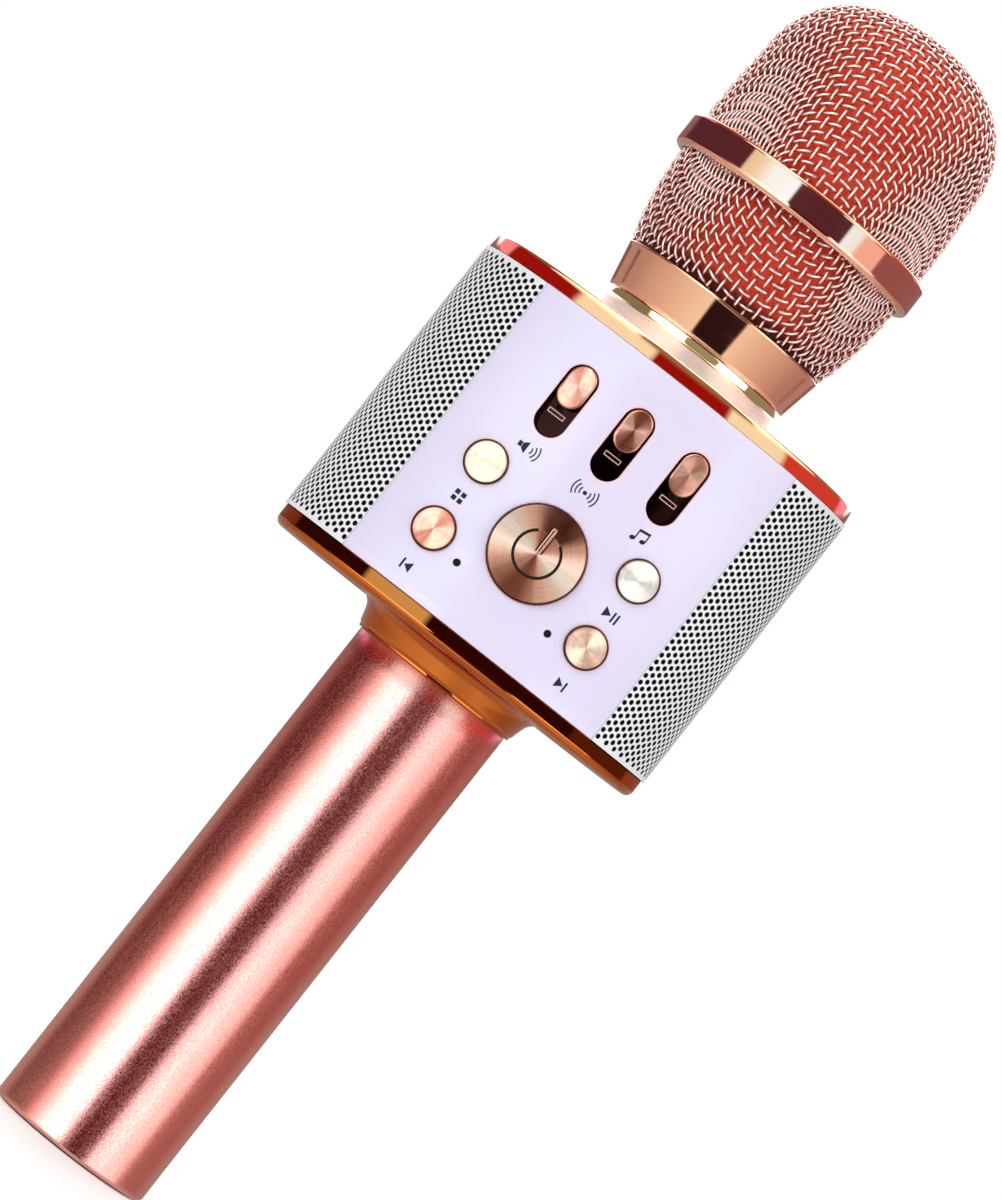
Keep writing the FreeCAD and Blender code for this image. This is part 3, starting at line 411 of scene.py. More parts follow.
def circuit_board():
    mat = Mat("board_green")
    tracks = mat.voronoi(scale=420, feature="DISTANCE_TO_EDGE")
    fibre = mat.noise(scale=1500)
    tone = mat.tint((0.012, 0.11, 0.045), (0.03, 0.22, 0.08), tracks, to=(1, 0), span=(0, 0.12))
    tone = mat.tint(tone, (0.008, 0.07, 0.03), fibre, to=(0, 0.3), span=(0.4, 0.7))
    mat.finish(Base_Color=tone, Roughness=mat.remap(fibre, to=(0.25, 0.42)),
               Normal=mat.bump(tracks, strength=0.15, dist=0.00005))


def panel_lacquer():
    """Gloss over pale lavender, with a painted reflection of the rose keys round each opening."""
    mat = Mat("panel_gloss")
    halo = mat.halo()
    peel = mat.noise(scale=190)
    drift = mat.noise(scale=28)
    speck = mat.noise(scale=2200, rough=0.6)
    tone = mat.tint((0.69, 0.638, 0.80), (0.66, 0.62, 0.81), drift,
                    to=(0, 0.35), span=(0.35, 0.68))
    tone = mat.tint(tone, (0.76, 0.70, 0.85), speck, to=(0, 0.12), span=(0.55, 0.8))
    # painted reflection: rose colour fading out from each large opening
    tone = mat.mix(mat.math("MULTIPLY", halo, 0.6), tone, (0.93, 0.50, 0.52))
    mat.finish(Base_Color=tone, Roughness=mat.remap(peel, to=(0.3, 0.4)),
               Specular_IOR_Level=0.35, Coat_Weight=0.35, Coat_Roughness=0.03,
               Normal=mat.bump(peel, strength=0.035, dist=0.0002))


def grille_paint():
    """White paint outside; painted shade makes the hole walls and the sheet's back black."""
    mat = Mat("grille_white")
    halo = mat.halo()
    fine = mat.noise(scale=3000, rough=0.6)
    broad = mat.noise(scale=50, detail=3)
    tone = mat.tint((0.80, 0.81, 0.84), (0.66, 0.67, 0.71), fine,
                    to=(0, 0.25), span=(0.35, 0.7))
    tone = mat.tint(tone, (0.86, 0.87, 0.90), broad, to=(0, 0.2), span=(0.4, 0.7))
    # painted shade inside the holes and on the back
    tone = mat.tint(tone, (0.02, 0.02, 0.022), halo, to=(0, 1), span=(0.1, 0.6))
    mat.finish(Base_Color=tone, Metallic=0.12, Roughness=mat.remap(fine, to=(0.34, 0.5)),
               Normal=mat.bump(fine, strength=0.12, dist=0.00004))


satin_metal()
polished_metal("rose_polish", (0.88, 0.46, 0.345), rough=0.035)
trim_metal()
polished_metal("amber_plate", (0.56, 0.14, 0.03), rough=0.008, spread=0.25)
mesh_wire()
# painted light on the power key: dark fans, a painted highlight in the hub, painted shade at the top
spun_metal("power_spun", (1.0, 0.56, 0.44), (0.0, POWER_Z), fan=(90, 0.85), rough=0.36,
           aniso=0.98, pitch=0.00034, depth=0.3, hub=4.1, bright=(1.0, 0.80, 0.68),
           edge=POWER_RADIUS)
polished_metal("key_rim", (0.86, 0.46, 0.36), rough=0.10)
# painted reflection: rose plating coloured near black for the dark reflection in the slots
polished_metal("fader_bed_painted_dark", (0.017, 0.006, 0.005), rough=0.12)
foam()
scrim_cloth()
# name, colour, roughness, grain scale, grain depth, mottling, specular level
for plastic_row in (
        ("plastic_black", (0.025, 0.025, 0.028), 0.5, 2600.0, 0.2, 0.12, 0.5),
        ("plastic_grey", (0.30, 0.31, 0.33), 0.45, 2600.0, 0.2, 0.12, 0.5),
        ("rubber_black", (0.02, 0.02, 0.02), 0.75, 1800.0, 0.35, 0.2, 0.3),
        ("lens_dark", (0.003, 0.003, 0.004), 0.5, 900.0, 0.03, 0.1, 0.12),
        # painted shade: colour for the power symbol's grooves
        ("groove_shade_brown", (0.016, 0.005, 0.004), 0.6, 1500.0, 0.05, 0.2, 0.08),
        ("mark_pink", (0.62, 0.40, 0.38), 0.55, 1500.0, 0.05, 0.2, 0.3),
        ("print_grey", (0.012, 0.012, 0.018), 0.55, 3500.0, 0.12, 0.25, 0.15),
        ("magnet_ferrite", (0.05, 0.05, 0.055), 0.55, 1400.0, 0.4, 0.3, 0.5),
        ("paper_cone", (0.03, 0.03, 0.033), 0.85, 1300.0, 0.6, 0.3, 0.2),
        ("wire_sleeve", (0.45, 0.02, 0.02), 0.45, 1200.0, 0.15, 0.12, 0.5),
        ("cell_wrap", (0.03, 0.12, 0.42), 0.3, 800.0, 0.08, 0.12, 0.5)):
    plastic(*plastic_row)
brushed_steel()
circuit_board()
panel_lacquer()
grille_paint()


# ------------------------------------------------------------------ mesh helpers
def build(name, verts, faces, material, body, smooth=True, sharp=None, replaces=None, halo=None):
    """Make an object carried by `body`; `sharp` is the crease angle in degrees."""
    mesh = bpy.data.meshes.new(name)
    mesh.from_pydata([tuple(p) for p in np.asarray(verts, float) * MM], [], faces)
    mesh.validate()
    mesh.update()
    if smooth:
        mesh.polygons.foreach_set("use_smooth", [True] * len(mesh.polygons))
    if sharp is not None:
        mesh.set_sharp_from_angle(angle=math.radians(sharp))
    mesh.materials.append(material)
    if halo is not None:
        weights = mesh.attributes.new("halo", "FLOAT", "POINT")
        weights.data.foreach_set("value", np.asarray(halo, np.float32))
    made = bpy.data.objects.new(name, mesh)
    bpy.context.scene.collection.objects.link(made)
    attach(made, body)
    if replaces:
        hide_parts(replaces)


def lerp(start, end, t):
    return start + (end - start) * t


def run_length(x, y):
    """Distance travelled along a line of points."""
    return np.concatenate([[0], np.cumsum(np.hypot(np.diff(x), np.diff(y)))])


def ring_faces(rings, count, closed=False):
    """Quads between successive rings of `count` points."""
    faces = []
    for i in range(rings if closed else rings - 1):
        low, high = i * count, ((i + 1) % rings) * count
        for j in range(count):
            k = (j + 1) % count
            faces.append((low + j, low + k, high + k, high + j))
    return faces


def prism_walls(start, count):
    """Sides joining an outline to its copy, which follows it in the vertex list."""
    return [(start + (i + 1) % count, start + i, start + count + i,
             start + count + (i + 1) % count) for i in range(count)]


def ring_solid(name, rows, material, body, replaces, segments=256, sharp=38, halo=None):
    """A closed section of oval rows (x half-axis, y half-axis, z) round the Z axis."""
    angles = np.arange(segments) * 2 * PI / segments
    verts = [(a * math.cos(t), b * math.sin(t), z) for a, b, z in rows for t in angles]
    build(name, verts, ring_faces(len(rows), segments, closed=True), material, body, sharp=sharp,
          replaces=replaces, halo=None if halo is None else np.repeat(halo, segments))


def lathe(name, profile, material, body, replaces, segments):
    """A ring turned about Z from a closed outline of (radius, z)."""
    ring_solid(name, [(r, r, z) for r, z in profile], material, body, replaces,
               segments=segments, sharp=40)


def arc(x, z, radius, start, end, steps):
    """Points on a circle between two angles in degrees."""
    angles = [math.radians(start + (end - start) * k / steps) for k in range(steps + 1)]
    return [(x + radius * math.cos(t), z + radius * math.sin(t)) for t in angles]


def skin_y(x, out=0.0, side=-1):
    """Y of the oval body grown by `out`, on the front (-1) or the back (+1)."""
    a, b = BODY_X + out, BODY_Y + out
    return side * b * math.sqrt(max(0.0, 1 - (x / a) ** 2))


def skin_slope(x, out):
    """Change of y with x on the front of the grown body."""
    a, b = BODY_X + out, BODY_Y + out
    return b * x / (a * a * math.sqrt(max(1e-6, 1 - (x / a) ** 2)))


# ------------------------------------------------------------------ oval caps
def oval_row(inset, z):
    return (BODY_X - inset, BODY_Y - inset, z)


def round_rows(table):
    return [(r, r, z) for r, z in table]


def top_cap():
    """A tall, slightly crowned wall, a rounded shoulder, then a slope up to a round neck."""
    wall_height, wall_steps, shoulder = 2.35, 6, 0.9
    leans = [4.2 + 5.2 * k / wall_steps for k in range(wall_steps + 1)]     # degrees off upright
    inset, z = 0.35, 168.28
    rows = [oval_row(2.5, 170.0), oval_row(2.5, 168.2), oval_row(0.43, 168.2), oval_row(inset, z)]
    rise = wall_height / wall_steps
    for k in range(1, wall_steps + 1):
        z += rise
        inset += rise * math.tan(math.radians((leans[k - 1] + leans[k]) / 2))
        rows.append(oval_row(inset, z))
    lean = math.radians(9.4)
    centre_inset = inset + shoulder * math.cos(lean)
    centre_z = z - shoulder * math.sin(lean)
    for k in range(1, 13):
        turn = math.radians(9.4 + 72.0 * k / 12)
        rows.append(oval_row(centre_inset - shoulder * math.cos(turn),
                             centre_z + shoulder * math.sin(turn)))
    start, neck = rows[-1], (20.9, 20.9, 174.22)
    rows += [tuple(lerp(p, q, k / 10) for p, q in zip(start, neck)) for k in range(1, 11)]
    rows += round_rows([                        # radius, z
        (20.6, 174.29), (20.35, 174.41), (20.12, 174.6), (20.0, 174.8), (19.96, 174.87),
        (19.41, 175.92), (19.37, 176.0), (19.32, 176.07), (19.1, 176.1), (16.3, 176.1),
        (16.1, 175.9), (16.1, 170.0)])
    # painted reflection: paling begins on the shoulder (row 11); the neck, from row 33, stays at 0.7
    pale = [0.7 if n >= 33 else min(1.0, max(0.0, (n - 11) / 6)) for n in range(len(rows))]
    ring_solid("top_cap_shell", rows, FINISH["rose_trim"], "mic_body", "top_cap", halo=pale)


def bottom_cap():
    """A level wall over a small round, with a collar flaring down to the handle."""
    base, fillet, wall = 107.5, 1.45, 0.5       # underside z, round radius, wall inset
    rows = round_rows([(12.0, 92.0), (12.0, 109.5)])
    rows += [oval_row(inset, z) for inset, z in (
        (2.5, 109.5), (2.5, 111.3), (0.65, 111.3), (wall, 111.15), (wall, 111.0),
        (wall, 109.14), (wall, base + fillet + 0.02))]
    for k in range(9):
        turn = math.radians(90 * k / 8)
        rows.append(oval_row(wall + fillet - fillet * math.cos(turn),
                             base + fillet - fillet * math.sin(turn)))
    a, b, _ = oval_row(wall + fillet, base)
    rows += [(lerp(a, 19.6, t), lerp(b, 19.6, t), base) for t in (0.25, 0.5, 0.75, 0.95)]
    rows += round_rows([                        # radius, z
        (19.3, 107.48), (18.95, 107.38), (18.55, 107.2), (18.25, 106.98), (17.95, 106.68),
        (17.7, 106.35), (17.5, 105.95), (17.28, 105.3), (17.1, 104.7), (16.93, 104.05),
        (16.78, 103.5), (16.62, 103.12), (16.45, 102.98), (16.42, 102.9), (16.42, 102.55),
        (16.32, 102.44), (16.2, 102.41), (14.28, 102.41), (14.28, 92.0)])
    ring_solid("bottom_cap_shell", rows, FINISH["amber_plate"], "mic_body", "bottom_cap",
               halo=[0.0] * len(rows))


top_cap()
bottom_cap()

# ------------------------------------------------------------------ handle, neck ring, band
lathe("handle_skin",
      [(14.3, 0.0)] + arc(15.1, 0.7, 0.7, -90, 0, steps=6)
      + [(15.8, 1.2 + 101.0 * k / 24) for k in range(25)]
      + [(15.72, 102.36), (15.55, 102.4), (14.3, 102.4)],
      FINISH["rose_satin"], "mic_body", "handle_tube", segments=224)
lathe("neck_cone",
      [(16.12, 176.2), (18.7, 176.2), (18.86, 176.25), (18.95, 176.4)]
      + [(lerp(18.95, 20.5, k / 10), lerp(176.4, 184.1, k / 10)) for k in range(1, 11)]
      + [(20.55, 184.25), (20.52, 184.42), (20.4, 184.55), (20.2, 184.6), (16.12, 184.6)],
      FINISH["rose_polish"], "grille_head", "neck_ring", segments=224)
lathe("head_band",
      [(23.6, 202.9), (24.2, 202.9), (24.35, 202.93)] + arc(24.3, 203.9, 1.0, -70, 0, steps=8)
      + [(25.3, 204.2), (25.3, 206.0), (25.3, 208.3)] + arc(24.65, 208.45, 0.65, 0, 85, steps=8)
      + [(24.4, 209.1), (23.9, 209.1), (23.76, 208.98), (23.75, 206.4), (22.0, 206.4),
         (22.0, 205.6), (23.6, 205.6)],
      FINISH["rose_polish"], "grille_head", "grille_band", segments=256)


# ------------------------------------------------------------------ panels with openings
def rounded_rect(x, z, half_x, half_z, radius, grow=0.0, corner_steps=10, side_steps=4):
    """A rounded rectangle moved outward by `grow`, counter-clockwise in (x, z)."""
    half_x, half_z, radius = half_x + grow, half_z + grow, max(radius + grow, 1e-3)
    left, right = x - half_x + radius, x + half_x - radius
    low, high = z - half_z + radius, z + half_z - radius
    corners = [(right, high, 0), (left, high, 90), (left, low, 180), (right, low, 270)]
    points = []
    for q, (cx, cz, angle) in enumerate(corners):
        points += arc(cx, cz, radius, angle, angle + 90, corner_steps)
        next_x, next_z, next_angle = corners[(q + 1) % 4]
        end = points[-1]
        start = (next_x + radius * math.cos(math.radians(next_angle)),
                 next_z + radius * math.sin(math.radians(next_angle)))
        if math.hypot(start[0] - end[0], start[1] - end[1]) > 0.02:
            points += [(lerp(end[0], start[0], k / side_steps), lerp(end[1], start[1], k / side_steps))
                       for k in range(1, side_steps)]
        else:
            points.pop()                        # the next corner starts at this point
    return points


def inside(point, opening, grow):
    x, z, half_x, half_z, radius = opening
    half_x, half_z, radius = half_x + grow, half_z + grow, radius + grow
    over_x = abs(point[0] - x) - (half_x - radius)
    over_z = abs(point[1] - z) - (half_z - radius)
    return math.hypot(max(over_x, 0), max(over_z, 0)) + min(max(over_x, over_z), 0) - radius < 0


def panel(name, openings, side, replaces, painted_key_reflection):
    """A curved plate between the caps, on the front (side -1) or the back (+1).

    `painted_key_reflection` lays rings of points round the openings to carry the fading halo, a
    painted reflection of the rose keys.
    """
    fillet = 0.14
    front = side < 0
    verts, faces, halo = [], [], []

    def is_large(opening):
        return opening[2] > 1.0

    def border(inset, steps=22):
        x, low, high = PANEL_X - inset, PANEL_LOW + inset, PANEL_HIGH - inset
        steps_t = [k / steps for k in range(steps)]
        return ([(lerp(-x, x, t), low) for t in steps_t] + [(x, lerp(low, high, t)) for t in steps_t]
                + [(lerp(x, -x, t), high) for t in steps_t]
                + [(-x, lerp(high, low, t)) for t in steps_t])

    def face_layer(inset, depth, ringed, flip):
        """One triangulated face; returns its border and its openings' edges."""
        points, edges, weight = [], [], {}

        def add_loop(loop):
            start = len(points)
            points.extend(loop)
            edges.extend((start + i, start + (i + 1) % len(loop)) for i in range(len(loop)))
            return list(range(start, start + len(loop)))

        outer = add_loop(border(inset))
        loops = [add_loop(rounded_rect(*opening, grow=inset)) for opening in openings]
        if ringed:
            for opening in filter(is_large, openings):
                for gap, value in ((0.06, 0.62), (0.16, 0.22), (0.34, 0.08), (0.6, 0.0)):
                    for i in add_loop(rounded_rect(*opening, grow=inset + gap)):
                        weight[i] = value
        clear = inset + (1.3 if ringed else 0.4)
        for i in range(1, 36):
            for j in range(1, 30):
                point = (lerp(-PANEL_X, PANEL_X, i / 36), lerp(PANEL_LOW, PANEL_HIGH, j / 30))
                if not any(inside(point, opening, clear) for opening in openings):
                    points.append(point)
        result = delaunay_2d_cdt([Vector(p) for p in points], edges, [], 1, 1e-6)
        flat, triangles, origins = result[0], result[2], result[3]
        base = len(verts)
        placed = {}
        for i, sources in enumerate(origins):
            for q in sources:
                placed[q] = base + i
            verts.append((flat[i][0], skin_y(flat[i][0], -depth, side), flat[i][1]))
            halo.append(max([weight.get(q, 0.0) for q in sources] or [0.0]))
        for tri in triangles:
            middle = (sum(flat[i][0] for i in tri) / len(tri), sum(flat[i][1] for i in tri) / len(tri))
            if any(inside(middle, opening, inset - 1e-3) for opening in openings):
                continue
            tri = [base + i for i in tri]
            faces.append(tuple(reversed(tri)) if flip else tuple(tri))
        for loop, opening in zip(loops, openings):
            for q in loop:
                halo[placed[q]] = 1.0 if ringed and is_large(opening) else 0.0
        return [placed[q] for q in outer], [[placed[q] for q in loop] for loop in loops]

    def join(first, second, outward):
        count = len(first)
        for i in range(count):
            k = (i + 1) % count
            if outward == front:
                faces.append((first[i], first[k], second[k], second[i]))
            else:
                faces.append((first[i], second[i], second[k], first[k]))

    def edge_strip(outer_edge, inner_edge, outline, value, outward):
        """A rounded edge, then a straight wall to the inner face."""
        previous = outer_edge
        for degrees in (25, 50, 72, 90):
            turn = math.radians(degrees)
            loop = outline(fillet * (1 - math.sin(turn)))
            depth = fillet * (1 - math.cos(turn))
            start = len(verts)
            verts.extend((x, skin_y(x, -depth, side), z) for x, z in loop)
            halo.extend([value] * len(loop))
            current = list(range(start, start + len(loop)))
            join(previous, current, outward)
            previous = current
        join(previous, inner_edge, outward)

    outer_border, outer_holes = face_layer(fillet, 0.0, painted_key_reflection, not front)
    inner_border, inner_holes = face_layer(0.0, WALL, False, front)
    edge_strip(outer_border, inner_border, border, 0.0, False)
    # painted reflection: walls of the large openings carry the full halo
    for opening, near, far in zip(openings, outer_holes, inner_holes):
        edge_strip(near, far, lambda grow: rounded_rect(*opening, grow=grow),
                   1.0 if is_large(opening) else 0.0, True)
    build(name, verts, faces, FINISH["panel_gloss"], "mic_body", sharp=50, replaces=replaces,
          halo=halo)


# openings: centre x, centre z, half-width, half-height, corner radius
front_openings = [(x, z, 3.89, 3.89, 3.89) for x, z in KEYS.values()]
front_openings.append((0.0, POWER_Z, 8.67, 8.67, 8.67))
front_openings += [(x, 153.9, 2.9, 7.175, 2.9) for x in FADERS.values()]
front_openings += [(x, 120.8, 0.67, 0.67, 0.67) for x in (-9.8, 9.8)]
rear_openings = [(-14.0, 116.4, 4.2, 1.75, 0.7), (0.0, 116.4, 6.6, 1.2, 0.5),
                 (14.0, 117.6, 2.85, 2.85, 2.85)]
panel("front_panel_skin", front_openings, -1, "front_panel", painted_key_reflection=True)
panel("rear_panel_skin", rear_openings, 1, "rear_panel", painted_key_reflection=False)


# ------------------------------------------------------------------ keys
def round_key(name, centre, radius, proud, flange, back_y, body, material, replaces,
              groove=0.22, groove_depth=0.006, dish=0.06, segments=128):
    """A key with a grooved, dished face that follows the panel, and a flange at its back."""
    centre_x, centre_z = centre
    slope = skin_slope(centre_x, proud)
    face_y = skin_y(centre_x, proud)
    rim, first = radius - 0.42, 0.12
    steps = int(rim / groove) * 4
    radii = [first] + [first + (rim - first) * i / steps for i in range(1, steps + 1)]
    # profile: radius, distance behind the face
    profile = [(r, dish * (1 - (r / rim) ** 2)
                + groove_depth * (0.5 - 0.5 * math.cos(2 * PI * r / groove))) for r in radii]
    profile += [(rim + 0.06, -0.02), (rim + 0.12, 0.0)]
    for degrees in (15, 35, 55, 75, 90):
        turn = math.radians(degrees)
        profile.append((radius - 0.3 + 0.3 * math.sin(turn), 0.3 - 0.3 * math.cos(turn)))
    under = back_y - 1.0 - face_y
    profile += [(radius, 1.2), (radius, under), (flange - 0.05, under), (flange, under + 0.05),
                (flange, under + 0.95), (flange - 0.05, under + 1.0)]
    verts = []
    for r, depth in profile:
        tilt = slope if depth < 1.3 else 0.0    # the flange stays square
        for j in range(segments):
            angle = 2 * PI * j / segments
            x, z = r * math.cos(angle), r * math.sin(angle)
            verts.append((centre_x + x, face_y + depth + tilt * x, centre_z + z))
    faces = ring_faces(len(profile), segments)
    hub, tail = len(verts), len(verts) + 1
    verts += [(centre_x, face_y + dish, centre_z), (centre_x, face_y + profile[-1][1], centre_z)]
    last = (len(profile) - 1) * segments
    faces += [(hub, (j + 1) % segments, j) for j in range(segments)]
    faces += [(tail, last + j, last + (j + 1) % segments) for j in range(segments)]
    build(name, verts, faces, material, body, sharp=42, replaces=replaces)


def outline_stack(name, outline, rows, surface_y, corner_steps, body, material, sharp,
                  replaces=None):
    """A cap of rounded rectangles: rows of (inset, height in front of the surface)."""
    verts = []
    for inset, height in rows:
        loop = rounded_rect(*outline, grow=-inset, corner_steps=corner_steps, side_steps=6)
        verts += [(x, surface_y(x) - height, z) for x, z in loop]
    count = len(loop)
    faces = [tuple(reversed(face)) for face in ring_faces(len(rows), count)]
    faces.append(tuple(range(count)))
    faces.append(tuple(reversed(range(len(verts) - count, len(verts)))))
    build(name, verts, faces, material, body, sharp=sharp, replaces=replaces)


KEY_LIT_TONES = {                                   # painted light, each key lit differently: colour, (fan angle, fan strength)
    "mode": ((0.90, 0.72, 0.56), (115, 0.12)), "play": ((1.0, 0.93, 0.88), (60, 0.06)),
    "previous": ((0.98, 0.54, 0.42), (75, 0.85)), "next": ((1.0, 0.72, 0.58), (130, 0.6))}
for key, place in KEYS.items():
    key_lit_colour, key_painted_fan = KEY_LIT_TONES[key]
    round_key(key + "_key_cap", place, KEY_RADIUS, KEY_PROUD, 4.5, PLUNGER_Y, key + "_key",
              spun_metal(key + "_spun", key_lit_colour, place, fan=key_painted_fan, edge=KEY_RADIUS),
              key + "_button")
round_key("power_key_cap", (0.0, POWER_Z), POWER_RADIUS, POWER_PROUD, 9.5, POWER_BACK,
          "power_key", FINISH["power_spun"], "power_button",
          groove=0.34, groove_depth=0.012, dish=0.12, segments=240)


def power_stem():
    count = 48
    rings = [(2.2, POWER_BACK), (3.0, POWER_BACK), (3.0, PLUNGER_Y - 0.05),
             (2.95, PLUNGER_Y), (0.3, PLUNGER_Y)]               # radius, y
    verts = [(r * math.cos(2 * PI * j / count), y, POWER_Z + r * math.sin(2 * PI * j / count))
             for r, y in rings for j in range(count)]
    faces = ring_faces(len(rings), count)
    faces += [tuple(range(count)), tuple(reversed(range(len(verts) - count, len(verts))))]
    build("power_key_stem", verts, faces, FINISH["plastic_grey"], "power_key", sharp=40)


power_stem()

fader_rows = [(0.0, -1.9), (0.0, -0.35)]
for degrees in (25, 50, 72, 90):
    turn = math.radians(degrees)
    fader_rows.append((0.35 - 0.35 * math.cos(turn), -0.35 + 0.35 * math.sin(turn)))
fader_rows += [(0.5, 0.0), (0.7, -0.006), (1.0, -0.015), (1.4, -0.03), (1.9, -0.045), (2.35, -0.05)]
for fader, x in FADERS.items():
    # painted reflection: each fader's dark fan turns with its place
    fader_metal = spun_metal(fader + "_spun", (0.92, 0.50, 0.40), (x, 157.1),
                             fan=(100 - 2 * x, 0.8), pitch=0.00026, depth=0.9)
    outline_stack(fader + "_fader_cap", (x, 156.8, 2.5, 4.0, 2.5), fader_rows,
                  lambda x: skin_y(x, 0.4), 12, fader + "_slider", fader_metal, sharp=42,
                  replaces=fader + "_knob")

# the raised bar of the power symbol
bar_rows = [(0.0, -0.3), (0.0, 0.16), (0.05, 0.21), (0.12, 0.235), (0.2, 0.235), (0.25, 0.17),
            (0.30, 0.15), (0.42, 0.15)]
outline_stack("power_symbol_bar", (0.0, POWER_Z + 2.72, 0.46, 2.6, 0.46), bar_rows,
              lambda x: POWER_Y + 0.06, 10, "power_key", FINISH["key_rim"], sharp=40)


def power_groove_shade():
    """Painted shade of the power symbol's grooves: dark bands let into the dished face, an open ring
    and the two sides of the bar.
    """
    def dished_y(r):
        return POWER_Y + 0.12 * max(0.0, 1 - (r / 8.08) ** 2)

    def ring_edge(radius):
        angles = [math.radians(a) for a in np.linspace(124, 416, 74)]
        return [(radius * math.cos(t), radius * math.sin(t)) for t in angles]

    def side_edge(x):
        return [(x, z) for z in np.linspace(0.3, 5.1, 12)]

    verts, faces = [], []
    for edge, other in ((ring_edge(4.38), ring_edge(3.86)), (side_edge(-0.42), side_edge(-0.72)),
                        (side_edge(0.72), side_edge(0.42))):
        loop = edge + other[::-1]
        start, count = len(verts), len(loop)
        for sink in (-0.022, 0.12):
            verts += [(x, dished_y(math.hypot(x, z)) + sink, POWER_Z + z) for x, z in loop]
        for i in range(count // 2 - 1):         # quads between the two edges of the band
            quad = (start + i, start + i + 1, start + count - 2 - i, start + count - 1 - i)
            faces.append(quad)
            faces.append(tuple(quad[k] + count for k in (0, 3, 2, 1)))
        faces += prism_walls(start, count)
    build("power_symbol_groove_shade", verts, faces, FINISH["groove_shade_brown"], "power_key", sharp=40)


power_groove_shade()


# ------------------------------------------------------------------ printed symbols, fader marks
def decal(name, outlines, material, inner, outer):
    """Thin solids from (x, z) outlines, between two offsets from the body's front."""
    verts, faces = [], []
    for loop in outlines:
        area = sum(x * q[1] - q[0] * z for (x, z), q in zip(loop, loop[1:] + loop[:1]))
        if area < 0:
            loop = loop[::-1]
        start, count = len(verts), len(loop)
        verts += [(x, skin_y(x, out), z) for out in (outer, inner) for x, z in loop]
        faces.append(tuple(range(start, start + count)))
        faces.append(tuple(reversed(range(start + count, start + 2 * count))))
        faces += prism_walls(start, count)
    build(name, verts, faces, material, "mic_body", smooth=False)


def rect(x, z, width, height):
    half_x, half_z = width / 2, height / 2
    return [(x - half_x, z - half_z), (x + half_x, z - half_z),
            (x + half_x, z + half_z), (x - half_x, z + half_z)]


def arc_band(x, z, radius, middle, spread):
    """A curved stroke reaching `spread` degrees either side of `middle`."""
    start, end, half = middle - spread, middle + spread, 0.24 / 2
    return arc(x, z, radius + half, start, end, 12) + arc(x, z, radius - half, end, start, 12)


def disc(x, z, radius_x, radius_z, tilt=0.0, count=20):
    cos_t, sin_t = math.cos(tilt), math.sin(tilt)
    points = [(radius_x * math.cos(t), radius_z * math.sin(t))
              for t in (2 * PI * i / count for i in range(count))]
    return [(x + u * cos_t - v * sin_t, z + u * sin_t + v * cos_t) for u, v in points]


def panel_symbols():
    z = 143.5
    x = FADERS["volume"]                        # a horn and three arcs
    shapes = [rect(x - 1.75, z, 0.7, 0.95),
              [(x - 1.3, z - 0.48), (x - 0.35, z - 1.15), (x - 0.35, z + 1.15), (x - 1.3, z + 0.48)]]
    shapes += [arc_band(x - 0.2, z, radius, 0, spread)
               for radius, spread in ((0.85, 42), (1.55, 42), (2.25, 38))]
    x = FADERS["echo"]                          # a dot with arcs on both sides
    shapes.append(disc(x, z, 0.38, 0.38))
    shapes += [arc_band(x, z, radius, side, 36) for radius in (1.0, 1.7, 2.4) for side in (0, 180)]
    x = FADERS["music"]                         # two joined notes
    shapes += [disc(x - 1.15, z - 0.85, 0.52, 0.38, tilt=0.35),
               disc(x + 0.75, z - 0.5, 0.52, 0.38, tilt=0.35),
               rect(x - 0.74, z + 0.15, 0.24, 1.9), rect(x + 1.16, z + 0.5, 0.24, 1.9),
               [(x - 0.86, z + 0.68), (x + 1.28, z + 1.03), (x + 1.28, z + 1.5), (x - 0.86, z + 1.15)]]
    x, z = -16.5, 129.9                         # mode: four squares
    shapes += [rect(x + i * 0.62, z + j * 0.62, 0.86, 0.86) for i in (-1, 1) for j in (-1, 1)]
    x, z = -16.1, 115.2                         # previous: bar and triangle
    shapes += [rect(x - 1.0, z, 0.36, 1.9), [(x - 0.6, z), (x + 0.75, z - 0.98), (x + 0.75, z + 0.98)]]
    x, z = 16.5, 129.9                          # play and pause
    shapes += [[(x - 1.55, z - 0.98), (x - 0.1, z), (x - 1.55, z + 0.98)],
               rect(x + 0.42, z, 0.36, 1.96), rect(x + 1.2, z, 0.36, 1.96)]
    x, z = 16.8, 115.4                          # next: triangle and bar
    shapes += [[(x - 0.85, z - 0.98), (x + 0.55, z), (x - 0.85, z + 0.98)],
               rect(x + 0.95, z, 0.36, 1.9)]
    decal("panel_symbols", shapes, FINISH["print_grey"], inner=-0.02, outer=0.028)


def fader_marks():
    """Raised rectangular outlines low on the fader trays."""
    z, width, height, line = 151.2, 3.3, 0.9, 0.17
    marks = []
    for x in FADERS.values():
        marks += [rect(x, z + height / 2 - line / 2, width, line),
                  rect(x, z - height / 2 + line / 2, width, line),
                  rect(x - width / 2 + line / 2, z, line, height - 2 * line),
                  rect(x + width / 2 - line / 2, z, line, height - 2 * line)]
    decal("fader_marks", marks, FINISH["mark_pink"], inner=-1.85, outer=-1.62)


panel_symbols()
fader_marks()


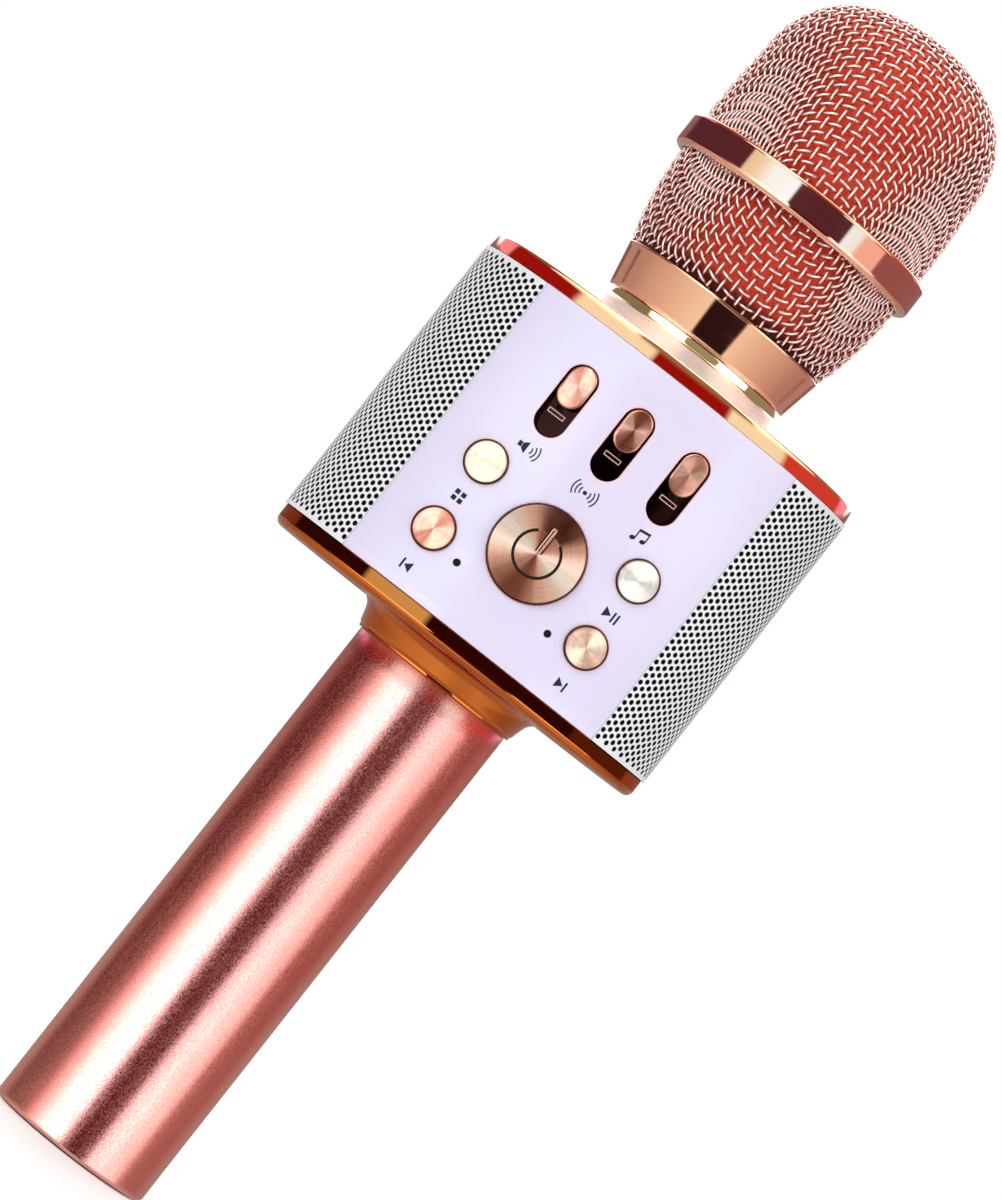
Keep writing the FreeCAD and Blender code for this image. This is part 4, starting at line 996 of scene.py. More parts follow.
# ------------------------------------------------------------------ perforated side grilles
def grille(name, side, replaces):
    """A sheet round the +X or -X side, with holes in staggered columns."""
    hole, thick, lip = 0.475, 0.28, 0.04        # hole radius, sheet, widening at the face
    low, high, pitch_z = 111.36, 168.14, 1.47
    half_angle = math.acos(27.14 / BODY_X)
    angles = np.linspace(half_angle, -half_angle, 2000)
    oval_x, oval_y = BODY_X * np.cos(angles), -BODY_Y * np.sin(angles)
    run = run_length(oval_x, oval_y)
    columns = int(round(run[-1] / 1.18))
    pitch = run[-1] / columns
    rows = int((high - low - 0.2) / pitch_z)
    first = (low + high) / 2 - rows * pitch_z / 2
    verts, faces, dark, shared = [], [], [], {}

    def lift(s, z, depth):
        """From distance round the oval, height and depth to a place in space."""
        x, y = np.interp(s, run, oval_x), np.interp(s, run, oval_y)
        normal_x, normal_y = x / BODY_X ** 2, y / BODY_Y ** 2
        size = math.hypot(normal_x, normal_y)
        return (side * (x - depth * normal_x / size), y - depth * normal_y / size, z)

    def vert(s, z, depth):
        spot = (round(s, 3), round(z, 3), depth)
        if spot not in shared:
            shared[spot] = len(verts)
            verts.append(lift(s, z, depth))
            # painted shade weight: 1 on the sheet's back
            dark.append(1.0 if depth else 0.0)
        return shared[spot]

    def put(face, depth):
        faces.append(tuple(reversed(face)) if depth else tuple(face))

    def margin(s0, s1, start, end):
        """Plain strip above or below the holes, split at every half pitch."""
        stops = [first + r * pitch_z / 2 for r in range(2 * rows + 1)]
        levels = sorted({start, end, *(z for z in stops if start + 1e-6 < z < end - 1e-6)})
        for z0, z1 in zip(levels, levels[1:]):
            for depth in (0.0, thick):
                put([vert(s, z, depth) for s, z in ((s0, z0), (s1, z0), (s1, z1), (s0, z1))], depth)

    def holed_cell(s0, s1, z0, z1):
        s_mid, z_mid = (s0 + s1) / 2, (z0 + z1) / 2
        border = [(s0, z0), (s1, z0), (s1, z_mid), (s1, z1), (s0, z1), (s0, z_mid)]
        corner = [math.atan2(z - z_mid, s - s_mid) for s, z in border]
        around = []
        for i in range(6):
            a, b = corner[i], corner[(i + 1) % 6]
            if b < a:
                b += 2 * PI
            around += [a, (a + b) / 2]
        rings = {}
        for depth, radius, shadow in ((0.0, hole + lip, 0.0), (0.05, hole, 0.8), (thick, hole, 1.0)):
            start = len(verts)
            verts.extend(lift(s_mid + radius * math.cos(a), z_mid + radius * math.sin(a), depth)
                         for a in around)
            dark.extend([shadow] * 12)
            rings[depth] = list(range(start, start + 12))
        for depth in (0.0, thick):
            outer = [vert(s, z, depth) for s, z in border]
            ring = rings[depth]
            for i in range(6):
                put((outer[i], outer[(i + 1) % 6], ring[(2 * i + 2) % 12], ring[2 * i + 1],
                     ring[2 * i]), depth)
        for near, far in ((0.0, 0.05), (0.05, thick)):
            for i in range(12):
                j = (i + 1) % 12
                faces.append((rings[near][i], rings[near][j], rings[far][j], rings[far][i]))

    for column in range(columns):
        s0, s1 = column * pitch, (column + 1) * pitch
        odd = column % 2
        base = 0.5 * pitch_z if odd else 0.0
        cells = [(first + base + r * pitch_z, first + base + (r + 1) * pitch_z)
                 for r in range(rows - odd)]
        margin(s0, s1, low, cells[0][0])
        margin(s0, s1, cells[-1][1], high)
        for z0, z1 in cells:
            holed_cell(s0, s1, z0, z1)

    # close the sheet's outer edge
    rim = {}
    for face in faces:
        for a, b in zip(face, face[1:] + face[:1]):
            if (b, a) in rim:
                del rim[(b, a)]
            else:
                rim[(a, b)] = True
    spots = {v: k for k, v in shared.items()}
    for a, b in rim:
        spot_a, spot_b = spots.get(a), spots.get(b)
        if spot_a and spot_b and spot_a[2] == 0.0 and spot_b[2] == 0.0:
            under_a = shared.get((spot_a[0], spot_a[1], thick))
            under_b = shared.get((spot_b[0], spot_b[1], thick))
            if under_b is not None and under_a is not None:
                faces.append((b, a, under_a, under_b))
    if side < 0:
        faces = [tuple(reversed(face)) for face in faces]
    build(name, verts, faces, FINISH["grille_white"], "mic_body", sharp=50, replaces=replaces,
          halo=dark)


def scrim(name, side, replaces=None):
    """Slightly uneven cloth behind the holes."""
    across, tall, thick = 70, 80, 0.35
    cloth_x, cloth_y = 39.15, 29.45             # half-axes of the cloth's oval
    half_angle = math.acos(27.25 / cloth_x)
    verts = []
    for depth in (0.0, thick):
        for j in range(tall + 1):
            z = lerp(111.5, 168.0, j / tall)
            for i in range(across + 1):
                t = lerp(-half_angle, half_angle, i / across)
                wave = 0.06 * math.sin(i * 0.7 + j * 0.23) * math.sin(j * 0.31)
                verts.append((side * (cloth_x - depth + wave) * math.cos(t),
                              (cloth_y - depth + wave) * math.sin(t), z))
    row = across + 1
    back = row * (tall + 1)
    faces = []
    for j in range(tall):
        for i in range(across):
            a = j * row + i
            faces.append((a, a + 1, a + row + 1, a + row))
            faces.append((back + a, back + a + row, back + a + row + 1, back + a + 1))
    edge = list(range(row))
    edge += [j * row + across for j in range(1, tall + 1)]
    edge += [tall * row + i for i in range(across - 1, -1, -1)]
    edge += [j * row for j in range(tall - 1, 0, -1)]
    for a, b in zip(edge, edge[1:] + edge[:1]):
        faces.append((b, a, back + a, back + b))
    if side < 0:
        faces = [tuple(reversed(face)) for face in faces]
    build(name, verts, faces, FINISH["scrim_black"], "mic_body", sharp=50, replaces=replaces)


grille("grille_sheet_right", 1, "grille_right")
grille("grille_sheet_left", -1, "grille_left")
scrim("scrim_cloth_right", 1, "speaker_scrims")
scrim("scrim_cloth_left", -1)


# ------------------------------------------------------------------ woven wire head
WIRE = 0.225                                    # wire radius
MESH_PITCH = 2.0                                # wire length between crossings
HALF_CELL = 0.5                                 # least half-width of a sheared cell


def turned_form(r, z, window=31):
    """A smoothed profile at even steps: (distance from the axis, radius, z)."""
    along = run_length(r, z)
    even = np.linspace(0, along[-1], 1200)
    r, z = np.interp(even, along, r), np.interp(even, along, z)
    kernel = np.ones(window) / window
    half = window // 2
    padded_r = np.pad(r, half, mode="reflect", reflect_type="odd")
    padded_z = np.concatenate([z[1:half + 1][::-1], z, 2 * z[-1] - z[-half - 1:-1][::-1]])
    radius = np.convolve(padded_r, kernel, "valid")
    radius[0] = 0.0
    return even, radius, np.convolve(padded_z, kernel, "valid")


def lay_cloth(form, reach):
    """Lay cloth over a turned form from its axis outwards, keeping the pitch at each crossing.

    Where it has sheared as far as the wires allow, cells keep their half-width and shorten.
    Returns one eighth, {(i, j): (distance, angle from the axis wire)}, and the grid size.
    """
    run, radii, heights = form
    eighth = PI / 4

    def spot(dist, angle):
        r = float(np.interp(dist, run, radii))
        return np.array([r * math.cos(angle), r * math.sin(angle),
                         float(np.interp(dist, run, heights))])

    def miss(place, other):
        return np.linalg.norm(place - other) - MESH_PITCH

    def on_diagonal(dist, near):
        low, high = dist, dist + 1.6 * MESH_PITCH
        for _ in range(40):
            mid = (low + high) / 2
            if np.linalg.norm(spot(mid, eighth) - near) < MESH_PITCH:
                low = mid
            else:
                high = mid
        return (low, eighth)

    def solve(guess, near_a, near_b):
        """Newton steps to the point one pitch from both neighbours."""
        step = 1e-5
        for _ in range(15):
            place = spot(*guess)
            error = np.array([miss(place, near_a), miss(place, near_b)])
            by_dist, by_angle = spot(guess[0] + step, guess[1]), spot(guess[0], guess[1] + step)
            jacobian = np.array([[(miss(moved, near) - error[row]) / step
                                  for moved in (by_dist, by_angle)]
                                 for row, near in enumerate((near_a, near_b))])
            if abs(np.linalg.det(jacobian)) < 1e-9:
                break
            delta = np.linalg.solve(jacobian, -error)
            guess = guess + delta / max(abs(delta[0]) / (0.5 * MESH_PITCH), abs(delta[1]) / 0.05, 1)
            if np.abs(error).max() < 1e-6:
                break
        return guess, error

    size = int(reach / MESH_PITCH) + 2
    known = {(0, j): (j * MESH_PITCH, 0.0) for j in range(size + 1)}
    for j in range(1, size + 1):
        for i in range(1, j + 1):
            if (i - 1, j) not in known or (i < j and (i, j - 1) not in known):
                continue
            dist_a, angle_a = known[(i - 1, j)]
            if dist_a > reach + 2 * MESH_PITCH:
                continue
            near_a = spot(dist_a, angle_a)
            if i == j:
                known[(i, j)] = on_diagonal(dist_a, near_a)
                continue
            dist_b, angle_b = known[(i, j - 1)]
            near_b = spot(dist_b, angle_b)
            dist_c, angle_c = known[(i - 1, j - 1)]
            guess = np.array([dist_a + dist_b - dist_c, angle_a + angle_b - angle_c])
            found, error = solve(guess, near_a, near_b)
            limit = eighth - (j - i) * HALF_CELL / max(float(np.interp(found[0], run, radii)), 1.0)
            if found[1] > limit or np.abs(error).max() > 1e-3:
                tries = np.linspace(min(dist_a, dist_b), max(dist_a, dist_b) + 1.2 * MESH_PITCH, 160)
                cost = [miss(spot(q, limit), near_a) ** 2 + miss(spot(q, limit), near_b) ** 2
                        for q in tries]
                found = np.array([tries[int(np.argmin(cost))], limit])
            known[(i, j)] = (float(found[0]), float(found[1]))
    return known, size


def unfold(known, size):
    """Mirror the eighth into a full grid: point indices (-1 where empty), distances, angles."""
    grid = -np.ones((2 * size + 1, 2 * size + 1), int)
    dist, angle = [], []
    for i in range(-size, size + 1):
        for j in range(-size, size + 1):
            a, b = abs(i), abs(j)
            cell = (min(a, b), max(a, b))
            if cell in known:
                far, turn = known[cell]
                turn = turn if a <= b else PI / 2 - turn
                x = 0.0 if i == 0 else math.sin(turn) * (1 if i > 0 else -1)
                y = 0.0 if j == 0 else math.cos(turn) * (1 if j > 0 else -1)
                grid[i + size, j + size] = len(dist)
                dist.append(far)
                angle.append(math.atan2(y, x))
    return grid, np.array(dist), np.array(angle)


def on_form(form, dist, angle):
    run, radii, heights = form
    r = np.interp(dist, run, radii)
    return np.stack([r * np.cos(angle), r * np.sin(angle), np.interp(dist, run, heights)], 1)


def relax(form, grid, dist, angle, rounds=150):
    """Ease out kinks: wire length, shear limit and stiffness, staying on the form."""
    run, radii, heights = form
    width = len(grid)

    def pairs(di, dj):
        p = grid[max(0, -di):width - max(0, di), max(0, -dj):width - max(0, dj)]
        q = grid[max(0, di):width - max(0, -di), max(0, dj):width - max(0, -dj)]
        both = (p >= 0) & (q >= 0)
        return p[both], q[both]

    edges, diagonals = [pairs(1, 0), pairs(0, 1)], [pairs(1, 1), pairs(1, -1)]
    triples = []
    for p, q, r in ((grid[:-2, :], grid[1:-1, :], grid[2:, :]),
                    (grid[:, :-2], grid[:, 1:-1], grid[:, 2:])):
        full = (p >= 0) & (q >= 0) & (r >= 0)
        triples.append((p[full], q[full], r[full]))
    centre = grid[width // 2, width // 2]
    points = on_form(form, dist, angle)
    for _ in range(rounds):
        move = np.zeros_like(points)

        def pull(a, b, strength, rest, only_short):
            gap = points[b] - points[a]
            length = np.linalg.norm(gap, axis=1)
            excess = length - rest
            if only_short:
                excess = np.minimum(excess, 0.0)
            push = gap * (strength * excess / np.maximum(length, 1e-6))[:, None]
            np.add.at(move, a, push)
            np.add.at(move, b, -push)

        for a, b in edges:
            pull(a, b, 0.25, MESH_PITCH, only_short=False)
        for a, b in diagonals:
            pull(a, b, 0.3, 2 * HALF_CELL, only_short=True)
        for a, b, c in triples:
            bend = ((points[a] + points[c]) / 2 - points[b]) * 0.2
            np.add.at(move, b, bend)
            np.add.at(move, a, -bend / 2)
            np.add.at(move, c, -bend / 2)
        points = points + move * 0.5
        r, angle = np.hypot(points[:, 0], points[:, 1]), np.arctan2(points[:, 1], points[:, 0])
        best, best_gap = dist.copy(), np.full(len(dist), 1e9)
        for shift in np.linspace(-0.5, 0.5, 15):
            near = np.clip(dist + shift, 0, run[-1])
            gap = ((np.interp(near, run, radii) - r) ** 2
                   + (np.interp(near, run, heights) - points[:, 2]) ** 2)
            closer = gap < best_gap
            best[closer], best_gap[closer] = near[closer], gap[closer]
        dist = best
        dist[centre] = 0.0
        points = on_form(form, dist, angle)
    return dist, angle


def form_normals(form, dist, angle, side, centre):
    run, radii, heights = form
    step = 0.05
    along_r = np.interp(dist + step, run, radii) - np.interp(dist - step, run, radii)
    along_z = np.interp(dist + step, run, heights) - np.interp(dist - step, run, heights)
    out_r, out_z = -side * along_z, side * along_r
    size = np.maximum(np.hypot(out_r, out_z), 1e-9)
    normals = np.stack([out_r / size * np.cos(angle), out_r / size * np.sin(angle), out_z / size], 1)
    normals[centre] = (0, 0, side)
    return normals


def spline(p0, p1, p2, p3, t):
    """Catmull-Rom curve between p1 and p2."""
    return 0.5 * ((2 * p1) + (-p0 + p2) * t + (2 * p0 - 5 * p1 + 4 * p2 - p3) * t * t
                  + (-p0 + 3 * p1 - 3 * p2 + p3) * t ** 3)


def weave(name, form, reach, z_range, side, turn, replaces):
    """Plain-woven wire over a turned form; `side` is the z sense of its normal on the axis."""
    known, size = lay_cloth(form, reach)
    grid, dist, angle = unfold(known, size)
    dist, angle = relax(form, grid, dist, angle)
    angle = angle + math.radians(turn)
    points = on_form(form, dist, angle)
    normals = form_normals(form, dist, angle, side, grid[size, size])
    swing = WIRE * 1.03                         # rise and fall at each crossing
    steps = 3
    sides = 6
    verts, faces, painted_crest_light = [], [], []

    def tube(stations):
        """A wire through (point, normal, height -1..1) stations."""
        if len(stations) < 4:
            return
        path, outward, ride = (np.array(column) for column in zip(*stations))
        along = np.gradient(path, axis=0)
        along /= np.linalg.norm(along, axis=1)[:, None]
        across = np.cross(along, outward)
        across /= np.linalg.norm(across, axis=1)[:, None]
        lifted = np.cross(across, along)
        base = len(verts)
        for p, flat, up, high in zip(path, across, lifted, ride):
            for a in range(sides):
                w = 2 * PI * a / sides
                verts.append(p + WIRE * (math.cos(w) * flat + math.sin(w) * up))
                # painted light: weight rises at the crossings' tops and on each wire's outer side
                painted_crest_light.append(0.5 + 0.42 * high + 0.08 * math.sin(w))
        count = len(path)
        for i in range(count - 1):
            for a in range(sides):
                b = (a + 1) % sides
                row, following = base + i * sides, base + (i + 1) * sides
                faces.append((row + a, following + a, following + b, row + b))
        faces.append(tuple(base + a for a in range(sides)))
        faces.append(tuple(base + (count - 1) * sides + a for a in reversed(range(sides))))

    def wire(family, c):
        """One wire of a family, cut where it leaves the z range or the grid."""
        cells = grid[:, c + size] if family == 0 else grid[c + size, :]
        line = [(g - size, q) for g, q in enumerate(cells) if q >= 0]
        stations = []
        for w in range(len(line) - 1):
            g, here = line[w]
            if line[w + 1][0] != g + 1:
                tube(stations)
                stations = []
                continue
            before, after = line[max(w - 1, 0)][1], line[w + 1][1]
            beyond = line[min(w + 2, len(line) - 1)][1]
            over = (1 if (g + c) % 2 == 0 else -1) * (1 if family == 0 else -1)
            for u in range(steps):
                t = u / steps
                p = spline(points[before], points[here], points[after], points[beyond], t)
                normal = normals[here] * (1 - t) + normals[after] * t
                normal = normal / np.linalg.norm(normal)
                p = p + normal * (over * swing * math.cos(PI * t))
                if z_range[0] <= p[2] <= z_range[1]:
                    stations.append((p, normal, over * math.cos(PI * t)))
                elif stations:
                    tube(stations)
                    stations = []
        tube(stations)

    for family in (0, 1):
        for c in range(-size, size + 1):
            wire(family, c)
    build(name, verts, faces, FINISH["mesh_wire"], "grille_head", replaces=replaces, halo=painted_crest_light)


# wire centre lines: a flattened cap, then stations down (dome) or up (bowl) the sides
CENTRE_IN = 0.44                                # from the outside of the weave to its middle
cap_angle = np.linspace(0, PI / 2, 400)
dome_r = np.concatenate([
    (23.05 - CENTRE_IN) * np.sin(cap_angle) ** (2 / 2.3),
    np.array([23.55, 23.7, 23.72, 23.62, 23.5, 23.5]) - CENTRE_IN])
dome_z = np.concatenate([
    225.4 + (244.8 - CENTRE_IN - 225.4) * np.cos(cap_angle) ** (2 / 2.3),
    [218.9, 214.5, 210.7, 207.0, 203.0, 170.0]])
weave("woven_dome", turned_form(dome_r, dome_z), reach=62.0, z_range=(206.45, math.inf), side=1,
      turn=1.5, replaces="upper_grille")
bowl_r = np.concatenate([
    20.3 * np.sin(cap_angle) ** (2 / 2.6),
    np.array([20.55, 21.45, 22.15, 22.65, 23.1, 23.38, 23.5, 23.5, 23.5]) - CENTRE_IN])
bowl_z = np.concatenate([
    183.6 - 7.5 * np.cos(cap_angle) ** (2 / 2.6),
    [184.9, 187.0, 189.8, 192.6, 195.4, 198.2, 200.9, 206.0, 236.0]])
weave("woven_bowl", turned_form(bowl_r, bowl_z, window=41), reach=50.0, z_range=(184.62, 205.55),
      side=-1, turn=1.0, replaces="lower_grille")


# ------------------------------------------------------------------ foam inside the head
FOAM_PROFILE = np.array([                       # radius, z, from the bore's mouth to the top
    (7.6, 187.2), (17.0, 187.2), (17.2, 184.95), (17.5, 184.8), (18.9, 184.8), (19.4, 185.2),
    (19.75, 187.0), (20.1, 189.2), (20.7, 191.6), (21.3, 195.4), (21.65, 199.5), (21.75, 204.0),
    (21.75, 208.0), (21.9, 213.0), (21.8, 218.0), (21.5, 222.5), (21.05, 227.0), (20.2, 231.4),
    (18.7, 235.3), (16.2, 238.4), (12.6, 240.8), (8.0, 242.2), (3.5, 242.75), (0.0, 242.85)])


def foam_ball():
    along = run_length(FOAM_PROFILE[:, 0], FOAM_PROFILE[:, 1])
    rows, segments = 150, 300
    even = np.linspace(0, along[-1], rows)
    r, z = (np.interp(even, along, FOAM_PROFILE[:, k]) for k in (0, 1))
    angles = np.arange(segments) * 2 * PI / segments
    grain = np.random.default_rng(7).random((rows, segments))
    soft = (grain + np.roll(grain, 1, 0) + np.roll(grain, 1, 1) + np.roll(grain, -1, 1)) / 4
    soft[0] = 0.5
    verts = []
    for i in range(rows - 1):
        out_r, out_z = z[i + 1] - z[max(i - 1, 0)], -(r[i + 1] - r[max(i - 1, 0)])
        size = math.hypot(out_r, out_z)
        for j in range(segments):
            pit = -0.28 * max(0.0, 1.0 - 1.6 * soft[i, j])
            pit_r, pit_z = r[i] + pit * out_r / size, z[i] + pit * out_z / size
            verts.append((pit_r * math.cos(angles[j]), pit_r * math.sin(angles[j]), pit_z))
    faces = ring_faces(rows - 1, segments)
    top = len(verts)
    verts.append((0, 0, z[-1]))
    last = (rows - 2) * segments
    faces += [(top, last + j, last + (j + 1) % segments) for j in range(segments)]
    bore = len(verts)                           # blind bore up from the underside
    verts += [(7.6 * math.cos(a), 7.6 * math.sin(a), 198.6) for a in angles]
    faces += [(bore + j, bore + (j + 1) % segments, (j + 1) % segments, j)
              for j in range(segments)]
    faces.append(tuple(reversed(range(bore, bore + segments))))
    build("foam_ball", verts, faces, FINISH["foam_red"], "grille_head", replaces="head_foam")


foam_ball()

# ------------------------------------------------------------------ finishes for unchanged parts
PART_FINISHES = {
    "plastic_black": ["handle_end_cap", "battery_cradle", "board_components", "switch_housings",
                      "aux_jack", "neck_spigot"],
    "plastic_grey": ["chassis", "status_leds", "power_plunger"]
                    + [key + "_plunger" for key in KEYS] + [fader + "_lever" for fader in FADERS],
    "rubber_black": ["battery_pads", "speaker_surrounds", "capsule_mount"],
    "steel_zinc": ["bottom_cap_screws", "top_cap_screws", "speaker_baskets", "speaker_screws",
                   "fader_housings", "board_screws", "charging_port", "card_socket",
                   "mic_capsule"],
    "cell_wrap": ["battery_cell"],
    "wire_sleeve": ["battery_leads", "capsule_leads"],
    "magnet_ferrite": ["speaker_magnets"],
    "board_green": ["main_board", "port_board"],
    "fader_bed_painted_dark": ["slider_beds"],
    "lens_dark": ["status_light_pipes"],
    "paper_cone": ["left_speaker_cone", "right_speaker_cone"],
}
for finish_name, part_names in PART_FINISHES.items():
    for part_name in part_names:
        part = PARTS[part_name]
        for material_slot in part.material_slots:
            material_slot.material = FINISH[finish_name]
        if not part.material_slots:
            part.data.materials.append(FINISH[finish_name])

# ------------------------------------------------------------------ studio surroundings
scene = bpy.context.scene
scene.view_settings.view_transform = "Standard"
scene.view_settings.look = "None"
scene.view_settings.exposure = 0.0

# Reflected colour round the horizon: (azimuth in degrees, colour).
# Azimuth 0 is the front (-Y) and positive is towards +X.
LEVEL = [                                       # at and just below the horizon
    (-180, (0.24, 0.13, 0.14)), (-146, (0.24, 0.13, 0.14)), (-140, (0.13, 0.005, 0.010)),
    (-90, (0.12, 0.005, 0.010)), (-78, (0.50, 0.22, 0.22)), (-66, (1.4, 1.0, 0.95)),
    (-54, (2.6, 2.4, 2.2)), (-44, (3.6, 3.5, 3.3)), (-28, (4.4, 4.5, 4.4)),
    (-14, (4.4, 4.6, 4.7)), (-12, (0.14, 0.014, 0.022)), (27, (0.14, 0.014, 0.022)),
    (29, (2.6, 2.7, 2.7)), (50, (3.0, 3.2, 3.1)), (57, (2.4, 2.4, 2.3)), (77, (2.0, 1.8, 1.7)),
    (83, (0.45, 0.17, 0.15)), (143, (0.38, 0.17, 0.15)), (150, (0.26, 0.15, 0.14)),
    (180, (0.24, 0.13, 0.14))]
RING = [                                        # a little higher
    (-180, (0.30, 0.17, 0.18)), (-150, (0.30, 0.17, 0.18)), (-142, (0.10, 0.038, 0.06)),
    (-64.5, (0.10, 0.038, 0.06)), (-62.5, (0.95, 1.15, 0.78)), (-50, (1.0, 1.35, 1.05)),
    (-40, (1.08, 1.85, 2.2)), (-16, (1.12, 2.05, 2.6)), (-14, (0.10, 0.038, 0.06)),
    (36.5, (0.10, 0.038, 0.06)), (38.5, (1.0, 1.76, 2.1)), (49, (1.0, 1.7, 1.95)),
    (54, (1.04, 0.84, 0.78)), (74.5, (1.04, 0.82, 0.76)), (76.5, (0.33, 0.165, 0.18)),
    (140, (0.33, 0.165, 0.18)), (150, (0.30, 0.17, 0.18)), (180, (0.30, 0.17, 0.18))]
HIGH = [                                        # bright cards between deep red, white behind
    (-180, (2.6, 2.7, 2.8)), (-150, (2.4, 2.4, 2.4)), (-142, (1.0, 0.5, 0.75)),
    (-120, (1.0, 0.45, 0.7)), (-116, (0.34, 0.012, 0.012)), (-56, (0.34, 0.012, 0.012)),
    (-52, (1.02, 1.40, 1.28)), (-12, (1.04, 1.45, 1.32)), (-10, (0.33, 0.010, 0.010)),
    (26, (0.33, 0.010, 0.010)), (28, (1.04, 1.45, 1.32)), (59, (1.02, 1.40, 1.28)),
    (63, (0.66, 0.09, 0.08)), (122, (0.66, 0.09, 0.08)), (127, (1.05, 0.5, 0.75)),
    (142, (1.0, 0.5, 0.75)), (150, (2.4, 2.4, 2.4)), (180, (2.6, 2.7, 2.8))]
UPPER = [
    (-180, (2.6, 2.6, 2.5)), (-145, (2.3, 2.2, 2.1)), (-140, (0.24, 0.19, 0.11)),
    (-83, (0.24, 0.19, 0.11)), (-79, (2.4, 2.4, 2.1)), (-24, (2.5, 2.5, 2.2)),
    (-20, (0.36, 0.29, 0.16)), (38, (0.36, 0.29, 0.16)), (42, (2.4, 2.4, 2.1)),
    (86, (2.4, 2.4, 2.1)), (90, (0.30, 0.24, 0.14)), (146, (0.30, 0.24, 0.14)),
    (150, (2.3, 2.2, 2.1)), (180, (2.6, 2.6, 2.5))]
LOW = [
    (-180, (0.40, 0.33, 0.28)), (-110, (0.55, 0.46, 0.38)), (-60, (0.86, 0.84, 0.66)),
    (-17, (1.06, 1.20, 0.95)), (-15, (0.03, 0.012, 0.016)), (25, (0.03, 0.012, 0.016)),
    (27, (1.04, 1.16, 0.90)), (60, (0.84, 0.78, 0.62)), (110, (0.5, 0.38, 0.34)),
    (180, (0.40, 0.33, 0.28))]
LOWER = [                                       # lower still: warm card, no dark flag
    (-180, (0.50, 0.45, 0.42)), (-100, (0.70, 0.62, 0.55)), (-45, (0.98, 1.0, 0.90)),
    (-5, (1.12, 1.2, 1.05)), (28, (0.80, 0.78, 0.72)), (62, (1.0, 1.0, 0.95)),
    (110, (0.62, 0.55, 0.5)), (180, (0.50, 0.45, 0.42))]
SLOT = [                                        # a thin dark flag at the horizon with one gap
    (-180, (0.30, 0.12, 0.08)), (-122, (0.30, 0.12, 0.08)), (-116, (0.045, 0.012, 0.008)),
    (-52, (0.045, 0.012, 0.008)), (-49, (1.05, 1.7, 1.9)), (-18, (1.1, 1.8, 2.0)),
    (-16, (0.04, 0.01, 0.006)), (60, (0.045, 0.012, 0.008)), (63, (0.15, 0.07, 0.04)),
    (118, (0.15, 0.07, 0.04)), (123, (0.42, 0.2, 0.12)), (180, (0.30, 0.12, 0.08))]


def studio_world():
    """Coloured cards for reflections, soft grey for diffuse light, white for the camera."""
    black, white = (0, 0, 0), (1, 1, 1)
    ramp_gain = 4.8                             # ramps hold 0..1, so cards are scaled back up
    world = bpy.data.worlds.new("studio")
    scene.world = world
    world.use_nodes = True
    sky = Nodes(world.node_tree)
    x, y, z = sky.split(sky.node("ShaderNodeTexCoord").outputs["Generated"])
    azimuth = sky.math("ARCTAN2", x, sky.math("MULTIPLY", y, -1.0))
    azimuth = sky.math("ADD", sky.math("DIVIDE", azimuth, 2 * PI), 0.5)
    elevation = sky.math("ADD", sky.math("DIVIDE", sky.math("ARCSINE", z), PI), 0.5)

    def around(degrees):
        return degrees / 360.0 + 0.5

    def up(degrees):
        return degrees / 180.0 + 0.5

    def bands(table):
        stops = [(around(a), tuple(v / ramp_gain for v in colour)) for a, colour in table]
        scaled = sky.node("ShaderNodeVectorMath", operation="SCALE")
        sky.feed(scaled.inputs[0], sky.ramp(azimuth, stops))
        scaled.inputs["Scale"].default_value = ramp_gain
        return scaled.outputs[0]

    def above(low, high):
        """Rises from 0 to 1 between two elevations."""
        return sky.ramp(elevation, [(0.0, black), (up(low), black), (up(high), white), (1.0, white)])

    def aside(low, high):
        """1 where the azimuth is further round than low..high, to either side."""
        return sky.ramp(azimuth, [(0.0, white), (around(-high), white), (around(-low), black),
                                  (around(low), black), (around(high), white), (1.0, white)])

    slot = sky.ramp(elevation, [(0.0, black), (up(-0.9), black), (up(-0.6), white),
                                (up(1.9), white), (up(2.2), black), (1.0, black)])
    below = sky.math("MULTIPLY", aside(124, 134), sky.invert(above(-0.9, -0.5)))
    deeper = sky.math("MULTIPLY", aside(78, 86), sky.invert(above(-6.4, -5.9)))
    cards = sky.mix(sky.math("MAXIMUM", below, deeper), bands(LEVEL), bands(LOW))
    cards = sky.mix(slot, cards, bands(SLOT))
    for low, high, table in ((3.0, 3.5, RING), (6.7, 7.6, HIGH), (19, 24, UPPER)):
        cards = sky.mix(above(low, high), cards, bands(table))
    cards = sky.mix(above(74, 80), cards, (2.6, 2.6, 2.5))
    behind = sky.math("MULTIPLY", aside(158, 166), above(6.2, 6.9))
    cards = sky.mix(behind, cards, (2.7, 2.7, 2.7))
    cards = sky.mix(above(-12.5, -10.5), bands(LOW), cards)
    cards = sky.mix(above(-25.5, -23.5), bands(LOWER), cards)
    cards = sky.mix(above(-50, -40), (0.62, 0.60, 0.58), cards)

    ray = sky.node("ShaderNodeLightPath").outputs
    ambient = sky.ramp(elevation, [(0.0, (0.50, 0.50, 0.51)), (0.5, (0.62, 0.62, 0.63)),
                                   (1.0, (0.92, 0.92, 0.94))])
    colour = sky.mix(ray["Is Diffuse Ray"], cards, ambient)
    colour = sky.mix(ray["Is Camera Ray"], colour, (1.0, 1.0, 1.0))
    background = sky.node("ShaderNodeBackground")
    sky.feed(background.inputs["Color"], colour)
    background.inputs["Strength"].default_value = 1.0
    sky.feed(sky.node("ShaderNodeOutputWorld").inputs[0], background.outputs[0])


